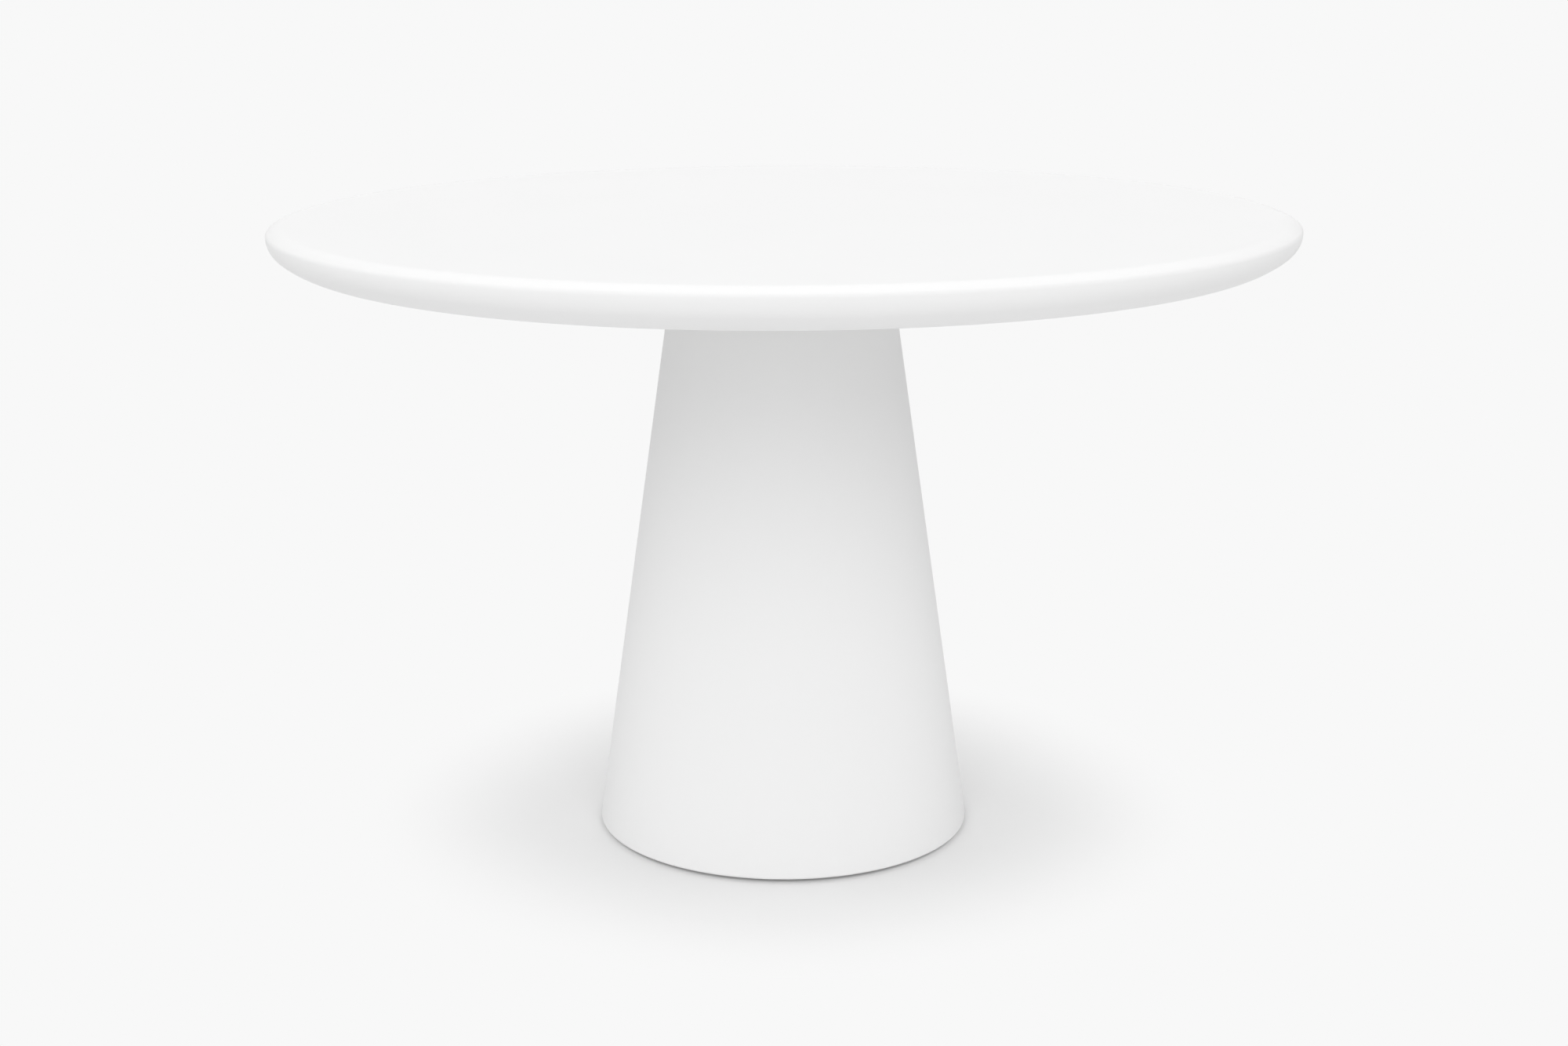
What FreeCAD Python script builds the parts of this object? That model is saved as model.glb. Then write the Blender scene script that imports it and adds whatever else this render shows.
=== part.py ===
"""Round pedestal table: a lacquered top on a hollow cone, carried by a steel column inside it.

Millimetres, +Z up. The origin is on the floor, on the axis that the top, cone and column share.
"""
import FreeCAD, Part
import math
import os
import re
import Sketcher
from FreeCAD import Vector

doc = FreeCAD.newDocument("RoundPedestalTable")

# ---------------------------------------------------------------- driving sizes
SIZES = (
    ("table_height", 750, "floor to the upper face of the top"),
    ("top_diameter", 1200, "over the widest line of its edge"),
    ("top_thickness", 50, "of the slab"),
    ("edge_drop", 10, "upper face down to the widest line of the edge"),
    ("edge_reach", 21, "widest line in to where the upper face is flat"),
    ("edge_nose", 5.5, "radius of the upper edge beside the widest line"),
    ("under_reach", 64, "widest line in to where the underside is flat"),
    ("under_nose", 27, "radius of the under-curve beside the widest line"),
    ("cone_base_diameter", 453, "outside, at the lower end"),
    ("cone_top_diameter", 256.5, "outside, at the upper end"),
    ("cone_wall", 6, "level thickness of the shell"),
    ("cone_base_round", 2.5, "radius of the lower outer edge"),
    ("cone_top_round", 1.5, "radius of the upper outer edge"),
    ("flange_width", 25, "in-turned flange at the cone's upper end"),
    ("flange_thickness", 5, "of that flange"),
    ("floor_gap", 4, "floor to the cone and the base board"),
    ("gasket_thickness", 2, "foam ring on the flange"),
    ("gasket_margin", 2, "foam ring in from the flange's two rims"),
    ("plate_diameter", 460, "mounting plate"),
    ("plate_thickness", 5, "mounting plate"),
    ("plate_round", 1.5, "radius of the plate's lower rim"),
    ("top_bolt_circle", 410, "pitch circle of the top's screws"),
    ("top_bolt_count", 8, "screws, washers and inserts"),
    ("top_bolt_diameter", 8, "M8"),
    ("top_head_diameter", 14, "button head"),
    ("top_head_height", 4.4, "button head"),
    ("top_head_round", 2.64, "radius of the button head's outer edge"),
    ("top_socket_width", 5, "hexagon socket, across its corners"),
    ("top_socket_depth", 2.64, "hexagon socket"),
    ("top_washer_diameter", 16, "washer"),
    ("top_washer_thickness", 1.6, "washer"),
    ("insert_diameter", 12, "threaded insert in the slab"),
    ("insert_length", 20, "threaded insert in the slab"),
    ("tube_diameter", 88.9, "column tube, outside"),
    ("tube_wall", 3, "column tube"),
    ("gusset_count", 4, "ribs under the mounting plate"),
    ("gusset_thickness", 6, "rib"),
    ("gusset_height", 80, "rib, along the tube"),
    ("gusset_land", 12, "square end of a rib at the plate and at the tube"),
    ("foot_thickness", 8, "foot plate"),
    ("passing_gap", 4, "foot plate and ribs to the flange's opening"),
    ("ballast_diameter", 320, "ballast disc"),
    ("ballast_thickness", 25, "ballast disc"),
    ("board_thickness", 25, "base board"),
    ("board_gap", 0.5, "base board to the shell"),
    ("ring_width", 20, "bonded ring, at its lower face"),
    ("ring_thickness", 18, "bonded ring"),
    ("glue_gap", 0.3, "bonded ring to the shell"),
    ("base_bolt_count", 4, "screws and washers"),
    ("base_bolt_diameter", 10, "M10"),
    ("base_head_diameter", 17.5, "button head"),
    ("base_head_height", 5.5, "button head"),
    ("base_head_round", 3.3, "radius of the button head's outer edge"),
    ("base_socket_width", 6.9, "hexagon socket, across its corners"),
    ("base_socket_depth", 3.3, "hexagon socket"),
    ("base_washer_diameter", 20, "washer"),
    ("base_washer_thickness", 2, "washer"),
    ("ring_screw_count", 6, "screws of the ring"),
    ("ring_screw_diameter", 4.5, "wood screw"),
    ("ring_screw_head", 8.6, "countersunk head"),
    ("ring_screw_length", 35, "wood screw"),
    ("glide_count", 6, "glides under the base board"),
    ("glide_inset", 36, "glide's axis in from the rim of the base board"),
    ("glide_travel", 12, "how far a glide screws out"),
    ("pad_diameter", 32, "foot of the glide"),
    ("pad_height", 8, "foot of the glide"),
    ("pad_round", 1.5, "radius of the foot's two rims"),
    ("pad_floor", 3, "thickness of the foot under the screw"),
    ("pad_lip", 2.5, "thickness of the lip that holds the screw"),
    ("stud_diameter", 8, "M8"),
    ("stud_flange_diameter", 12, "head that the foot snaps over"),
    ("stud_hex_width", 15, "hexagon, across its corners"),
    ("stud_hex_height", 4.5, "hexagon for a 13 mm spanner"),
    ("stud_hex_gap", 0.5, "hexagon to the foot below and the nut above"),
    ("nut_flange_diameter", 22, "glide nut"),
    ("nut_flange_thickness", 1.5, "glide nut"),
    ("nut_barrel_diameter", 10.5, "glide nut"),
    ("nut_cover", 2, "nut's barrel in from the top of the base board"),
    ("bolt_play", 0.5, "radial room of a screw in a plain hole"),
    ("thread_play", 0.05, "radial room between drawn-plain threads"),
    ("press_play", 0.1, "radial room of an insert in its hole"),
    ("turning_play", 0.4, "room around the screw's head in the foot"),
    ("tool_play", 2.5, "room around a head or a foot in its recess"),
    ("screw_lead", 3, "screw's end past its thread"),
    ("screw_sink", 0.5, "heads in from the base board's lower face"),
)

sheet = doc.addObject("Spreadsheet::Sheet", "Sizes")
for row, (name, number, note) in enumerate(SIZES, start=1):
    sheet.set(f"A{row}", name)
    sheet.set(f"B{row}", str(number))
    sheet.set(f"C{row}", note)
    sheet.setAlias(f"B{row}", name)
doc.recompute()

# ---------------------------------------------------------------- levels and radii that pieces share
AXIS = "0"
FLOOR = "0"
UNDERSIDE = "(table_height - top_thickness)"
PLATE_UNDER = f"({UNDERSIDE} - plate_thickness)"
CONE_TOP = f"({PLATE_UNDER} - gasket_thickness)"
FLANGE_UNDER = f"({CONE_TOP} - flange_thickness)"
BOARD_TOP = "(floor_gap + board_thickness)"
RING_TOP = f"({BOARD_TOP} + ring_thickness)"
BALLAST_TOP = f"({BOARD_TOP} + ballast_thickness)"
FOOT_TOP = f"({BALLAST_TOP} + foot_thickness)"
CONE_SLOPE = f"((cone_base_diameter - cone_top_diameter) / 2 / ({CONE_TOP} - floor_gap))"
FLANGE_OPENING = "(cone_top_diameter / 2 - flange_width)"
TUBE_OUT = "(tube_diameter / 2)"
FOOT_RADIUS = f"({FLANGE_OPENING} - passing_gap)"
TOP_BOLT_AT = "(top_bolt_circle / 2)"
BASE_BOLT_AT = f"(({TUBE_OUT} + {FOOT_RADIUS}) / 2)"


def shell_inside(level):
    """Inner radius of the cone's wall at a level."""
    return f"(cone_base_diameter / 2 - cone_wall - {CONE_SLOPE} * ({level} - floor_gap))"


RING_INSIDE = f"({shell_inside(BOARD_TOP)} - glue_gap - ring_width)"
RING_SCREW_AT = f"({RING_INSIDE} + ring_width / 2)"
GLIDE_AT = f"({shell_inside(BOARD_TOP)} - glide_inset)"
HEX_UNDER = "(pad_height + stud_hex_gap)"
HEX_TOP = f"({HEX_UNDER} + stud_hex_height)"
NUT_UNDER = f"({HEX_TOP} + stud_hex_gap)"
NUT_SEAT = f"({NUT_UNDER} + nut_flange_thickness)"
BASE_SEAT = "(floor_gap + screw_sink + base_head_height + base_washer_thickness)"
RING_SCREW_LOW = "(floor_gap + screw_sink)"
RING_SCREW_END = f"({RING_SCREW_LOW} + ring_screw_length)"


def linked(formula):
    """A formula of size names, written as an expression on the sheet."""
    return re.sub(r"[a-z]+(_[a-z]+)+", lambda word: "Sizes." + word.group(0), formula)


def value(formula):
    return float(sheet.evalExpression(linked(formula)))


# ---------------------------------------------------------------- ways of making a piece
LEAST_CHANGE = 0.001  # cubic millimetres
SAME_PLACE = 0.0001
AXIS_LINE = 100  # drawn length of a construction line


def origin_part(body, role):
    return next(part for part in body.Origin.OriginFeatures if part.Role == role)


def new_body(label):
    body = doc.addObject("PartDesign::Body", label)
    body.Label = label
    body.AllowCompound = True
    return body


def new_sketch(body, name, plane):
    sketch = body.newObject("Sketcher::SketchObject", name)
    sketch.AttachmentSupport = (origin_part(body, plane), [""])
    sketch.MapMode = "FlatFace"
    return sketch


def tie(sketch, kind, curve, end, formula):
    """Hold one end of a curve at a level or radius from the sheet."""
    number = sketch.addConstraint(Sketcher.Constraint(kind, -1, 1, curve, end, value(formula)))
    sketch.setExpression(f"Constraints[{number}]", linked(formula))


def draw_outline(sketch, corners):
    """A closed run of straight lines, with both coordinates of each corner tied to the sheet."""
    points = [Vector(value(across), value(up), 0) for across, up in corners]
    count = len(corners)
    for line in range(count):
        sketch.addGeometry(Part.LineSegment(points[line], points[(line + 1) % count]), False)
    for line, (across, up) in enumerate(corners):
        sketch.addConstraint(Sketcher.Constraint("Coincident", line, 2, (line + 1) % count, 1))
        tie(sketch, "DistanceX", line, 1, across)
        tie(sketch, "DistanceY", line, 1, up)


def draw_axis(sketch, at, curves):
    """An upright construction line at a radius: the axis of a screw or a hole."""
    line = Part.LineSegment(Vector(value(at), 0, 0), Vector(value(at), AXIS_LINE, 0))
    sketch.addGeometry(line, True)
    tie(sketch, "DistanceX", curves, 1, at)
    sketch.addConstraint(Sketcher.Constraint("DistanceY", -1, 1, curves, 1, 0))
    tie(sketch, "DistanceX", curves, 2, at)
    sketch.addConstraint(Sketcher.Constraint("DistanceY", -1, 1, curves, 2, AXIS_LINE))


def spin(body, kind, name, corners, at=None, plane="XZ_Plane"):
    """Turn an outline about the table's axis, or about an upright axis at a radius."""
    before = body.Shape.Volume if body.Tip else 0
    sketch = new_sketch(body, name + "_outline", plane)
    draw_outline(sketch, corners)
    axis = "V_Axis"
    if at:
        draw_axis(sketch, at, len(corners))
        axis = "Axis0"
    feature = body.newObject("PartDesign::" + kind, name)
    feature.Profile = sketch
    feature.ReferenceAxis = (sketch, [axis])
    feature.Angle = 360
    body.Tip = feature
    doc.recompute()
    check_change(body, before, kind == "Groove")
    return feature


def check_change(body, before, takes_away):
    """A cut that misses the piece shows no error, so the volume has to tell."""
    change = body.Shape.Volume - before
    if takes_away:
        change = -change
    if change < LEAST_CHANGE:
        raise RuntimeError(f"{body.Label}: {body.Tip.Name} does not change the piece")


def repeat(body, count, features=None):
    """Repeat features, or the whole piece so far, evenly round the table's axis."""
    pattern = body.newObject("PartDesign::PolarPattern", "around_" + body.Tip.Name)
    if features:
        pattern.Originals = features
    else:
        pattern.TransformMode = "Whole shape"
    pattern.Axis = (origin_part(body, "Z_Axis"), [""])
    pattern.Angle = 360
    pattern.Occurrences = int(value(count))
    pattern.setExpression("Occurrences", linked(count))
    body.Tip = pattern
    doc.recompute()


def round_rims(body, rims, radius):
    """Round the circular edges at the given radii and levels."""
    before = body.Shape.Volume
    wanted = [(value(around), value(level)) for around, level in rims]
    edges = []
    for number, edge in enumerate(body.Shape.Edges, start=1):
        curve = edge.Curve
        if not isinstance(curve, Part.Circle):
            continue
        for around, level in wanted:
            if abs(curve.Radius - around) + abs(curve.Center.z - level) < SAME_PLACE:
                edges.append(f"Edge{number}")
    if len(edges) < len(rims):
        raise RuntimeError(f"{body.Label}: a rim to round isn't there")
    base = body.Tip
    fillet = body.newObject("PartDesign::Fillet", "rounded")
    fillet.Base = (base, edges)
    fillet.setExpression("Radius", linked(radius))
    body.Tip = fillet
    doc.recompute()
    check_change(body, before, True)


def hexagon(body, kind, across_corners, low, tall, at=AXIS):
    """A six-sided prism, added or cut, from a level upwards."""
    before = body.Shape.Volume
    prism = body.newObject("PartDesign::" + kind, "hexagon")
    prism.AttachmentSupport = (origin_part(body, "XY_Plane"), [""])
    prism.MapMode = "FlatFace"
    prism.Polygon = 6
    prism.setExpression("Circumradius", linked(f"{across_corners} / 2"))
    prism.setExpression("Height", linked(tall))
    prism.setExpression(".AttachmentOffset.Base.x", linked(at))
    prism.setExpression(".AttachmentOffset.Base.z", linked(low))
    body.Tip = prism
    doc.recompute()
    check_change(body, before, kind == "SubtractivePrism")


def ring(inner, outer, low, high):
    return [(inner, low), (outer, low), (outer, high), (inner, high)]


def column(outer, low, high, axis=AXIS):
    return ring(axis, outer, low, high)


def stepped_hole(axis, recess, bore, step):
    """A recess from below the base board, then a narrower bore through it."""
    return [
        (axis, "floor_gap"),
        (recess, "floor_gap"),
        (recess, step),
        (bore, step),
        (bore, BOARD_TOP),
        (axis, BOARD_TOP),
    ]


# ---------------------------------------------------------------- the top and what bolts it down
def edge_points(reach, drop, nose, side):
    """Mid and end points, from the widest line, of a nose arc and the slack arc that carries it on."""
    turn = 2 * math.atan((reach - nose) / (drop - nose)) - math.pi / 2
    slack = nose + (reach - nose) / math.cos(turn)

    def on_arc(across, up, radius, angle):
        return Vector(across + radius * math.cos(angle), side * (up + radius * math.sin(angle)), 0)

    nose_mid = on_arc(-nose, 0, nose, turn / 2)
    joint = on_arc(-nose, 0, nose, turn)
    slack_mid = on_arc(-reach, drop - slack, slack, (turn + math.pi / 2) / 2)
    return nose_mid, joint, slack_mid


def tie_radius(sketch, arc, formula):
    number = sketch.addConstraint(Sketcher.Constraint("Radius", arc, value(formula)))
    sketch.setExpression(f"Constraints[{number}]", linked(formula))


def make_tabletop():
    """The slab: each edge curve is two tangent arcs, tight beside the widest line and slack inwards."""
    body = new_body("tabletop")
    sketch = new_sketch(body, "half_section", "XZ_Plane")
    rim = "(top_diameter / 2)"
    widest = "(table_height - edge_drop)"
    corner = Vector(value(rim), value(widest), 0)
    under = edge_points(value("under_reach"), value(f"{widest} - {UNDERSIDE}"), value("under_nose"), -1)
    over = edge_points(value("edge_reach"), value("edge_drop"), value("edge_nose"), 1)
    low_axis = Vector(0, value(UNDERSIDE), 0)
    low_end = Vector(value(f"{rim} - under_reach"), value(UNDERSIDE), 0)
    top_axis = Vector(0, value("table_height"), 0)
    top_end = Vector(value(f"{rim} - edge_reach"), value("table_height"), 0)
    sketch.addGeometry(Part.LineSegment(low_axis, low_end), False)
    sketch.addGeometry(Part.Arc(low_end, corner + under[2], corner + under[1]), False)
    sketch.addGeometry(Part.Arc(corner + under[1], corner + under[0], corner), False)
    sketch.addGeometry(Part.Arc(corner, corner + over[0], corner + over[1]), False)
    sketch.addGeometry(Part.Arc(corner + over[1], corner + over[2], top_end), False)
    sketch.addGeometry(Part.LineSegment(top_end, top_axis), False)
    sketch.addGeometry(Part.LineSegment(top_axis, low_axis), False)
    for curve in range(5):
        sketch.addConstraint(Sketcher.Constraint("Tangent", curve, 2, curve + 1, 1))
    sketch.addConstraint(Sketcher.Constraint("Coincident", 5, 2, 6, 1))
    sketch.addConstraint(Sketcher.Constraint("Coincident", 6, 2, 0, 1))
    sketch.addConstraint(Sketcher.Constraint("Horizontal", 0))
    sketch.addConstraint(Sketcher.Constraint("Horizontal", 5))
    sketch.addConstraint(Sketcher.Constraint("PointOnObject", 6, 1, -2))
    sketch.addConstraint(Sketcher.Constraint("PointOnObject", 6, 2, -2))
    tie(sketch, "DistanceY", 0, 1, UNDERSIDE)
    tie(sketch, "DistanceY", 5, 2, "table_height")
    tie(sketch, "DistanceX", 0, 2, f"{rim} - under_reach")
    tie(sketch, "DistanceX", 5, 1, f"{rim} - edge_reach")
    tie(sketch, "DistanceX", 2, 2, rim)
    tie(sketch, "DistanceY", 2, 2, widest)
    tie_radius(sketch, 2, "under_nose")
    tie_radius(sketch, 3, "edge_nose")
    slab = body.newObject("PartDesign::Revolution", "slab")
    slab.Profile = sketch
    slab.ReferenceAxis = (sketch, ["V_Axis"])
    slab.Angle = 360
    body.Tip = slab
    doc.recompute()
    hole = f"({TOP_BOLT_AT} + insert_diameter / 2 + press_play)"
    depth = f"({UNDERSIDE} + insert_length + screw_lead)"
    cut = spin(body, "Groove", "insert_hole", column(hole, UNDERSIDE, depth, TOP_BOLT_AT), TOP_BOLT_AT)
    repeat(body, "top_bolt_count", [cut])


def make_top_inserts():
    """Threaded sleeves, flush with the slab's underside."""
    body = new_body("top_inserts")
    bore = f"({TOP_BOLT_AT} + top_bolt_diameter / 2 + thread_play)"
    outside = f"({TOP_BOLT_AT} + insert_diameter / 2)"
    sleeve = ring(bore, outside, UNDERSIDE, f"({UNDERSIDE} + insert_length)")
    spin(body, "Revolution", "sleeve", sleeve, TOP_BOLT_AT)
    repeat(body, "top_bolt_count")


def make_mounting_plate():
    """A round steel plate under the slab, welded to the column."""
    body = new_body("mounting_plate")
    rim = "(plate_diameter / 2)"
    spin(body, "Revolution", "disc", column(rim, PLATE_UNDER, UNDERSIDE))
    round_rims(body, [(rim, PLATE_UNDER)], "plate_round")
    hole = f"({TOP_BOLT_AT} + top_bolt_diameter / 2 + bolt_play)"
    cut = spin(body, "Groove", "hole", column(hole, PLATE_UNDER, UNDERSIDE, TOP_BOLT_AT), TOP_BOLT_AT)
    repeat(body, "top_bolt_count", [cut])


def make_button_screws(label, kind, at, seat, end, count):
    """Button-head screws, heads down, with a hexagon socket. kind starts their sizes' names."""
    body = new_body(label)
    head = f"({at} + {kind}_head_diameter / 2)"
    shank = f"({at} + {kind}_bolt_diameter / 2)"
    low = f"({seat} - {kind}_head_height)"
    outline = [(at, low), (head, low), (head, seat), (shank, seat), (shank, end), (at, end)]
    spin(body, "Revolution", "screw", outline, at)
    round_rims(body, [(f"{kind}_head_diameter / 2", low)], f"{kind}_head_round")
    hexagon(body, "SubtractivePrism", f"{kind}_socket_width", low, f"{kind}_socket_depth", at)
    repeat(body, count)


def make_washers(label, kind, at, low, count):
    body = new_body(label)
    bore = f"({at} + {kind}_bolt_diameter / 2 + bolt_play)"
    rim = f"({at} + {kind}_washer_diameter / 2)"
    spin(body, "Revolution", "washer", ring(bore, rim, low, f"({low} + {kind}_washer_thickness)"), at)
    repeat(body, count)


# ---------------------------------------------------------------- the welded steel column
def make_column():
    tube = new_body("column_tube")
    bore = f"({TUBE_OUT} - tube_wall)"
    spin(tube, "Revolution", "tube", ring(bore, TUBE_OUT, FOOT_TOP, PLATE_UNDER))

    foot = new_body("column_foot_plate")
    spin(foot, "Revolution", "disc", column(FOOT_RADIUS, BALLAST_TOP, FOOT_TOP))
    hole = f"({BASE_BOLT_AT} + base_bolt_diameter / 2 + thread_play)"
    cut = spin(foot, "Groove", "tapped", column(hole, BALLAST_TOP, FOOT_TOP, BASE_BOLT_AT), BASE_BOLT_AT)
    repeat(foot, "base_bolt_count", [cut])

    ribs = new_body("column_gussets")
    sketch = new_sketch(ribs, "rib_outline", "XZ_Plane")
    low = f"({PLATE_UNDER} - gusset_height)"
    draw_outline(sketch, [
        (TUBE_OUT, low),
        (f"{TUBE_OUT} + gusset_land", low),
        (FOOT_RADIUS, f"{PLATE_UNDER} - gusset_land"),
        (FOOT_RADIUS, PLATE_UNDER),
        (TUBE_OUT, PLATE_UNDER),
    ])
    rib = ribs.newObject("PartDesign::Pad", "rib")
    rib.Profile = sketch
    rib.SideType = "Symmetric"
    rib.setExpression("Length", linked("gusset_thickness"))
    ribs.Tip = rib
    doc.recompute()
    repeat(ribs, "gusset_count")


# ---------------------------------------------------------------- the cone and what closes it
def make_pedestal_cone():
    """A straight-sided moulded shell, open below, with a flange turned in at its upper end."""
    body = new_body("pedestal_cone")
    base = "(cone_base_diameter / 2)"
    neck = "(cone_top_diameter / 2)"
    spin(body, "Revolution", "shell", [
        (f"{base} - cone_wall", "floor_gap"),
        (base, "floor_gap"),
        (neck, CONE_TOP),
        (FLANGE_OPENING, CONE_TOP),
        (FLANGE_OPENING, FLANGE_UNDER),
        (shell_inside(FLANGE_UNDER), FLANGE_UNDER),
    ])
    round_rims(body, [(base, "floor_gap")], "cone_base_round")
    round_rims(body, [(neck, CONE_TOP)], "cone_top_round")


def make_cone_gasket():
    body = new_body("cone_gasket")
    inner = f"({FLANGE_OPENING} + gasket_margin)"
    outer = "(cone_top_diameter / 2 - gasket_margin)"
    spin(body, "Revolution", "foam", ring(inner, outer, CONE_TOP, PLATE_UNDER))


def make_cone_lower_ring():
    """A board ring bonded to the shell's inside, with a blind pilot hole for each wood screw."""
    body = new_body("cone_lower_ring")
    spin(body, "Revolution", "ledge", [
        (RING_INSIDE, BOARD_TOP),
        (f"{shell_inside(BOARD_TOP)} - glue_gap", BOARD_TOP),
        (f"{shell_inside(RING_TOP)} - glue_gap", RING_TOP),
        (RING_INSIDE, RING_TOP),
    ])
    hole = f"({RING_SCREW_AT} + ring_screw_diameter / 2 + thread_play)"
    pilot = column(hole, BOARD_TOP, f"({RING_SCREW_END} + thread_play)", RING_SCREW_AT)
    cut = spin(body, "Groove", "pilot", pilot, RING_SCREW_AT, "YZ_Plane")
    repeat(body, "ring_screw_count", [cut])


def make_base_board():
    """The round board that closes the cone: recesses for the base screws, the glides and wood screws."""
    body = new_body("base_board")
    spin(body, "Revolution", "board", [
        (AXIS, "floor_gap"),
        (f"{shell_inside('floor_gap')} - board_gap", "floor_gap"),
        (f"{shell_inside(BOARD_TOP)} - board_gap", BOARD_TOP),
        (AXIS, BOARD_TOP),
    ])
    recess = f"({BASE_BOLT_AT} + base_washer_diameter / 2 + tool_play)"
    bore = f"({BASE_BOLT_AT} + base_bolt_diameter / 2 + bolt_play)"
    stepped = stepped_hole(BASE_BOLT_AT, recess, bore, BASE_SEAT)
    cut = spin(body, "Groove", "base_bolt_hole", stepped, BASE_BOLT_AT)
    repeat(body, "base_bolt_count", [cut])
    recess = f"({GLIDE_AT} + pad_diameter / 2 + tool_play)"
    bore = f"({GLIDE_AT} + nut_barrel_diameter / 2 + press_play)"
    cut = spin(body, "Groove", "glide_hole", stepped_hole(GLIDE_AT, recess, bore, NUT_SEAT), GLIDE_AT)
    repeat(body, "glide_count", [cut])
    mouth = f"({RING_SCREW_AT} + ring_screw_head / 2 + press_play)"
    bore = f"({RING_SCREW_AT} + ring_screw_diameter / 2 + press_play)"
    sunk = [
        (RING_SCREW_AT, "floor_gap"),
        (mouth, "floor_gap"),
        (mouth, RING_SCREW_LOW),
        (bore, f"{RING_SCREW_LOW} + (ring_screw_head - ring_screw_diameter) / 2"),
        (bore, BOARD_TOP),
        (RING_SCREW_AT, BOARD_TOP),
    ]
    cut = spin(body, "Groove", "ring_screw_hole", sunk, RING_SCREW_AT, "YZ_Plane")
    repeat(body, "ring_screw_count", [cut])


def make_ballast_plate():
    body = new_body("ballast_plate")
    spin(body, "Revolution", "disc", column("(ballast_diameter / 2)", BOARD_TOP, BALLAST_TOP))
    hole = f"({BASE_BOLT_AT} + base_bolt_diameter / 2 + bolt_play)"
    cut = spin(body, "Groove", "hole", column(hole, BOARD_TOP, BALLAST_TOP, BASE_BOLT_AT), BASE_BOLT_AT)
    repeat(body, "base_bolt_count", [cut])


def make_ring_screws():
    """Countersunk wood screws, drawn plain, with a tapered point."""
    body = new_body("ring_screws")
    head = f"({RING_SCREW_AT} + ring_screw_head / 2)"
    shank = f"({RING_SCREW_AT} + ring_screw_diameter / 2)"
    spin(body, "Revolution", "screw", [
        (RING_SCREW_AT, RING_SCREW_LOW),
        (head, RING_SCREW_LOW),
        (shank, f"{RING_SCREW_LOW} + (ring_screw_head - ring_screw_diameter) / 2"),
        (shank, f"{RING_SCREW_END} - ring_screw_diameter"),
        (RING_SCREW_AT, RING_SCREW_END),
    ], RING_SCREW_AT, "YZ_Plane")
    repeat(body, "ring_screw_count")


# ---------------------------------------------------------------- the levelling glides
def make_glide_nuts():
    """Flanged nuts pressed into the base board from below, so that the load pushes them home."""
    body = new_body("glide_nuts")
    bore = f"({GLIDE_AT} + stud_diameter / 2)"
    flange = f"({GLIDE_AT} + nut_flange_diameter / 2)"
    barrel = f"({GLIDE_AT} + nut_barrel_diameter / 2)"
    end = f"({BOARD_TOP} - nut_cover)"
    spin(body, "Revolution", "nut", [
        (bore, NUT_UNDER),
        (flange, NUT_UNDER),
        (flange, NUT_SEAT),
        (barrel, NUT_SEAT),
        (barrel, end),
        (bore, end),
    ], GLIDE_AT)
    repeat(body, "glide_count")


def place_glide(body, number):
    """Carry a piece made on the table's axis out to its glide."""
    turn = f"({number} * 360 / glide_count)"
    body.setExpression(".Placement.Base.x", linked(f"{GLIDE_AT} * cos({turn})"))
    body.setExpression(".Placement.Base.y", linked(f"{GLIDE_AT} * sin({turn})"))
    doc.recompute()


def make_glide_pad(number):
    """The foot: a low plastic cup that snaps over the screw's flange."""
    body = new_body(f"glide_pad_{number + 1}")
    rim = "(pad_diameter / 2)"
    mouth = "(stud_diameter / 2 + turning_play)"
    room = "(stud_flange_diameter / 2 + turning_play)"
    lip = "(pad_height - pad_lip)"
    spin(body, "Revolution", "cup", [
        (AXIS, FLOOR),
        (rim, FLOOR),
        (rim, "pad_height"),
        (mouth, "pad_height"),
        (mouth, lip),
        (room, lip),
        (room, "pad_floor"),
        (AXIS, "pad_floor"),
    ])
    round_rims(body, [(rim, FLOOR), (rim, "pad_height")], "pad_round")
    place_glide(body, number)


def make_glide_stud(number):
    """The screw: a flange in the foot, a hexagon for the spanner, and a plain-drawn M8 thread."""
    body = new_body(f"glide_stud_{number + 1}")
    flange = "(stud_flange_diameter / 2)"
    neck = "(stud_diameter / 2)"
    thread = "(stud_diameter / 2 - thread_play)"
    low = "(pad_floor + turning_play)"
    seat = "(pad_height - pad_lip - turning_play)"
    end = f"({BOARD_TOP} + glide_travel - nut_cover + screw_lead)"
    spin(body, "Revolution", "screw", [
        (AXIS, low),
        (flange, low),
        (flange, seat),
        (neck, seat),
        (neck, HEX_TOP),
        (thread, HEX_TOP),
        (thread, end),
        (AXIS, end),
    ])
    hexagon(body, "AdditivePrism", "stud_hex_width", HEX_UNDER, "stud_hex_height")
    place_glide(body, number)


# ---------------------------------------------------------------- the whole table
def make_table():
    make_tabletop()
    make_top_inserts()
    make_mounting_plate()
    top_seat = f"({PLATE_UNDER} - top_washer_thickness)"
    top_end = f"({UNDERSIDE} + insert_length - screw_lead)"
    make_button_screws("top_bolts", "top", TOP_BOLT_AT, top_seat, top_end, "top_bolt_count")
    make_washers("top_bolt_washers", "top", TOP_BOLT_AT, top_seat, "top_bolt_count")
    make_column()
    make_pedestal_cone()
    make_cone_gasket()
    make_cone_lower_ring()
    make_base_board()
    make_ballast_plate()
    base_low = f"({BASE_SEAT} - base_washer_thickness)"
    base_end = f"({FOOT_TOP} + screw_lead)"
    make_button_screws("base_bolts", "base", BASE_BOLT_AT, base_low, base_end, "base_bolt_count")
    make_washers("base_bolt_washers", "base", BASE_BOLT_AT, base_low, "base_bolt_count")
    make_ring_screws()
    make_glide_nuts()
    for number in range(int(value("glide_count"))):
        make_glide_pad(number)
        make_glide_stud(number)


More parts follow.
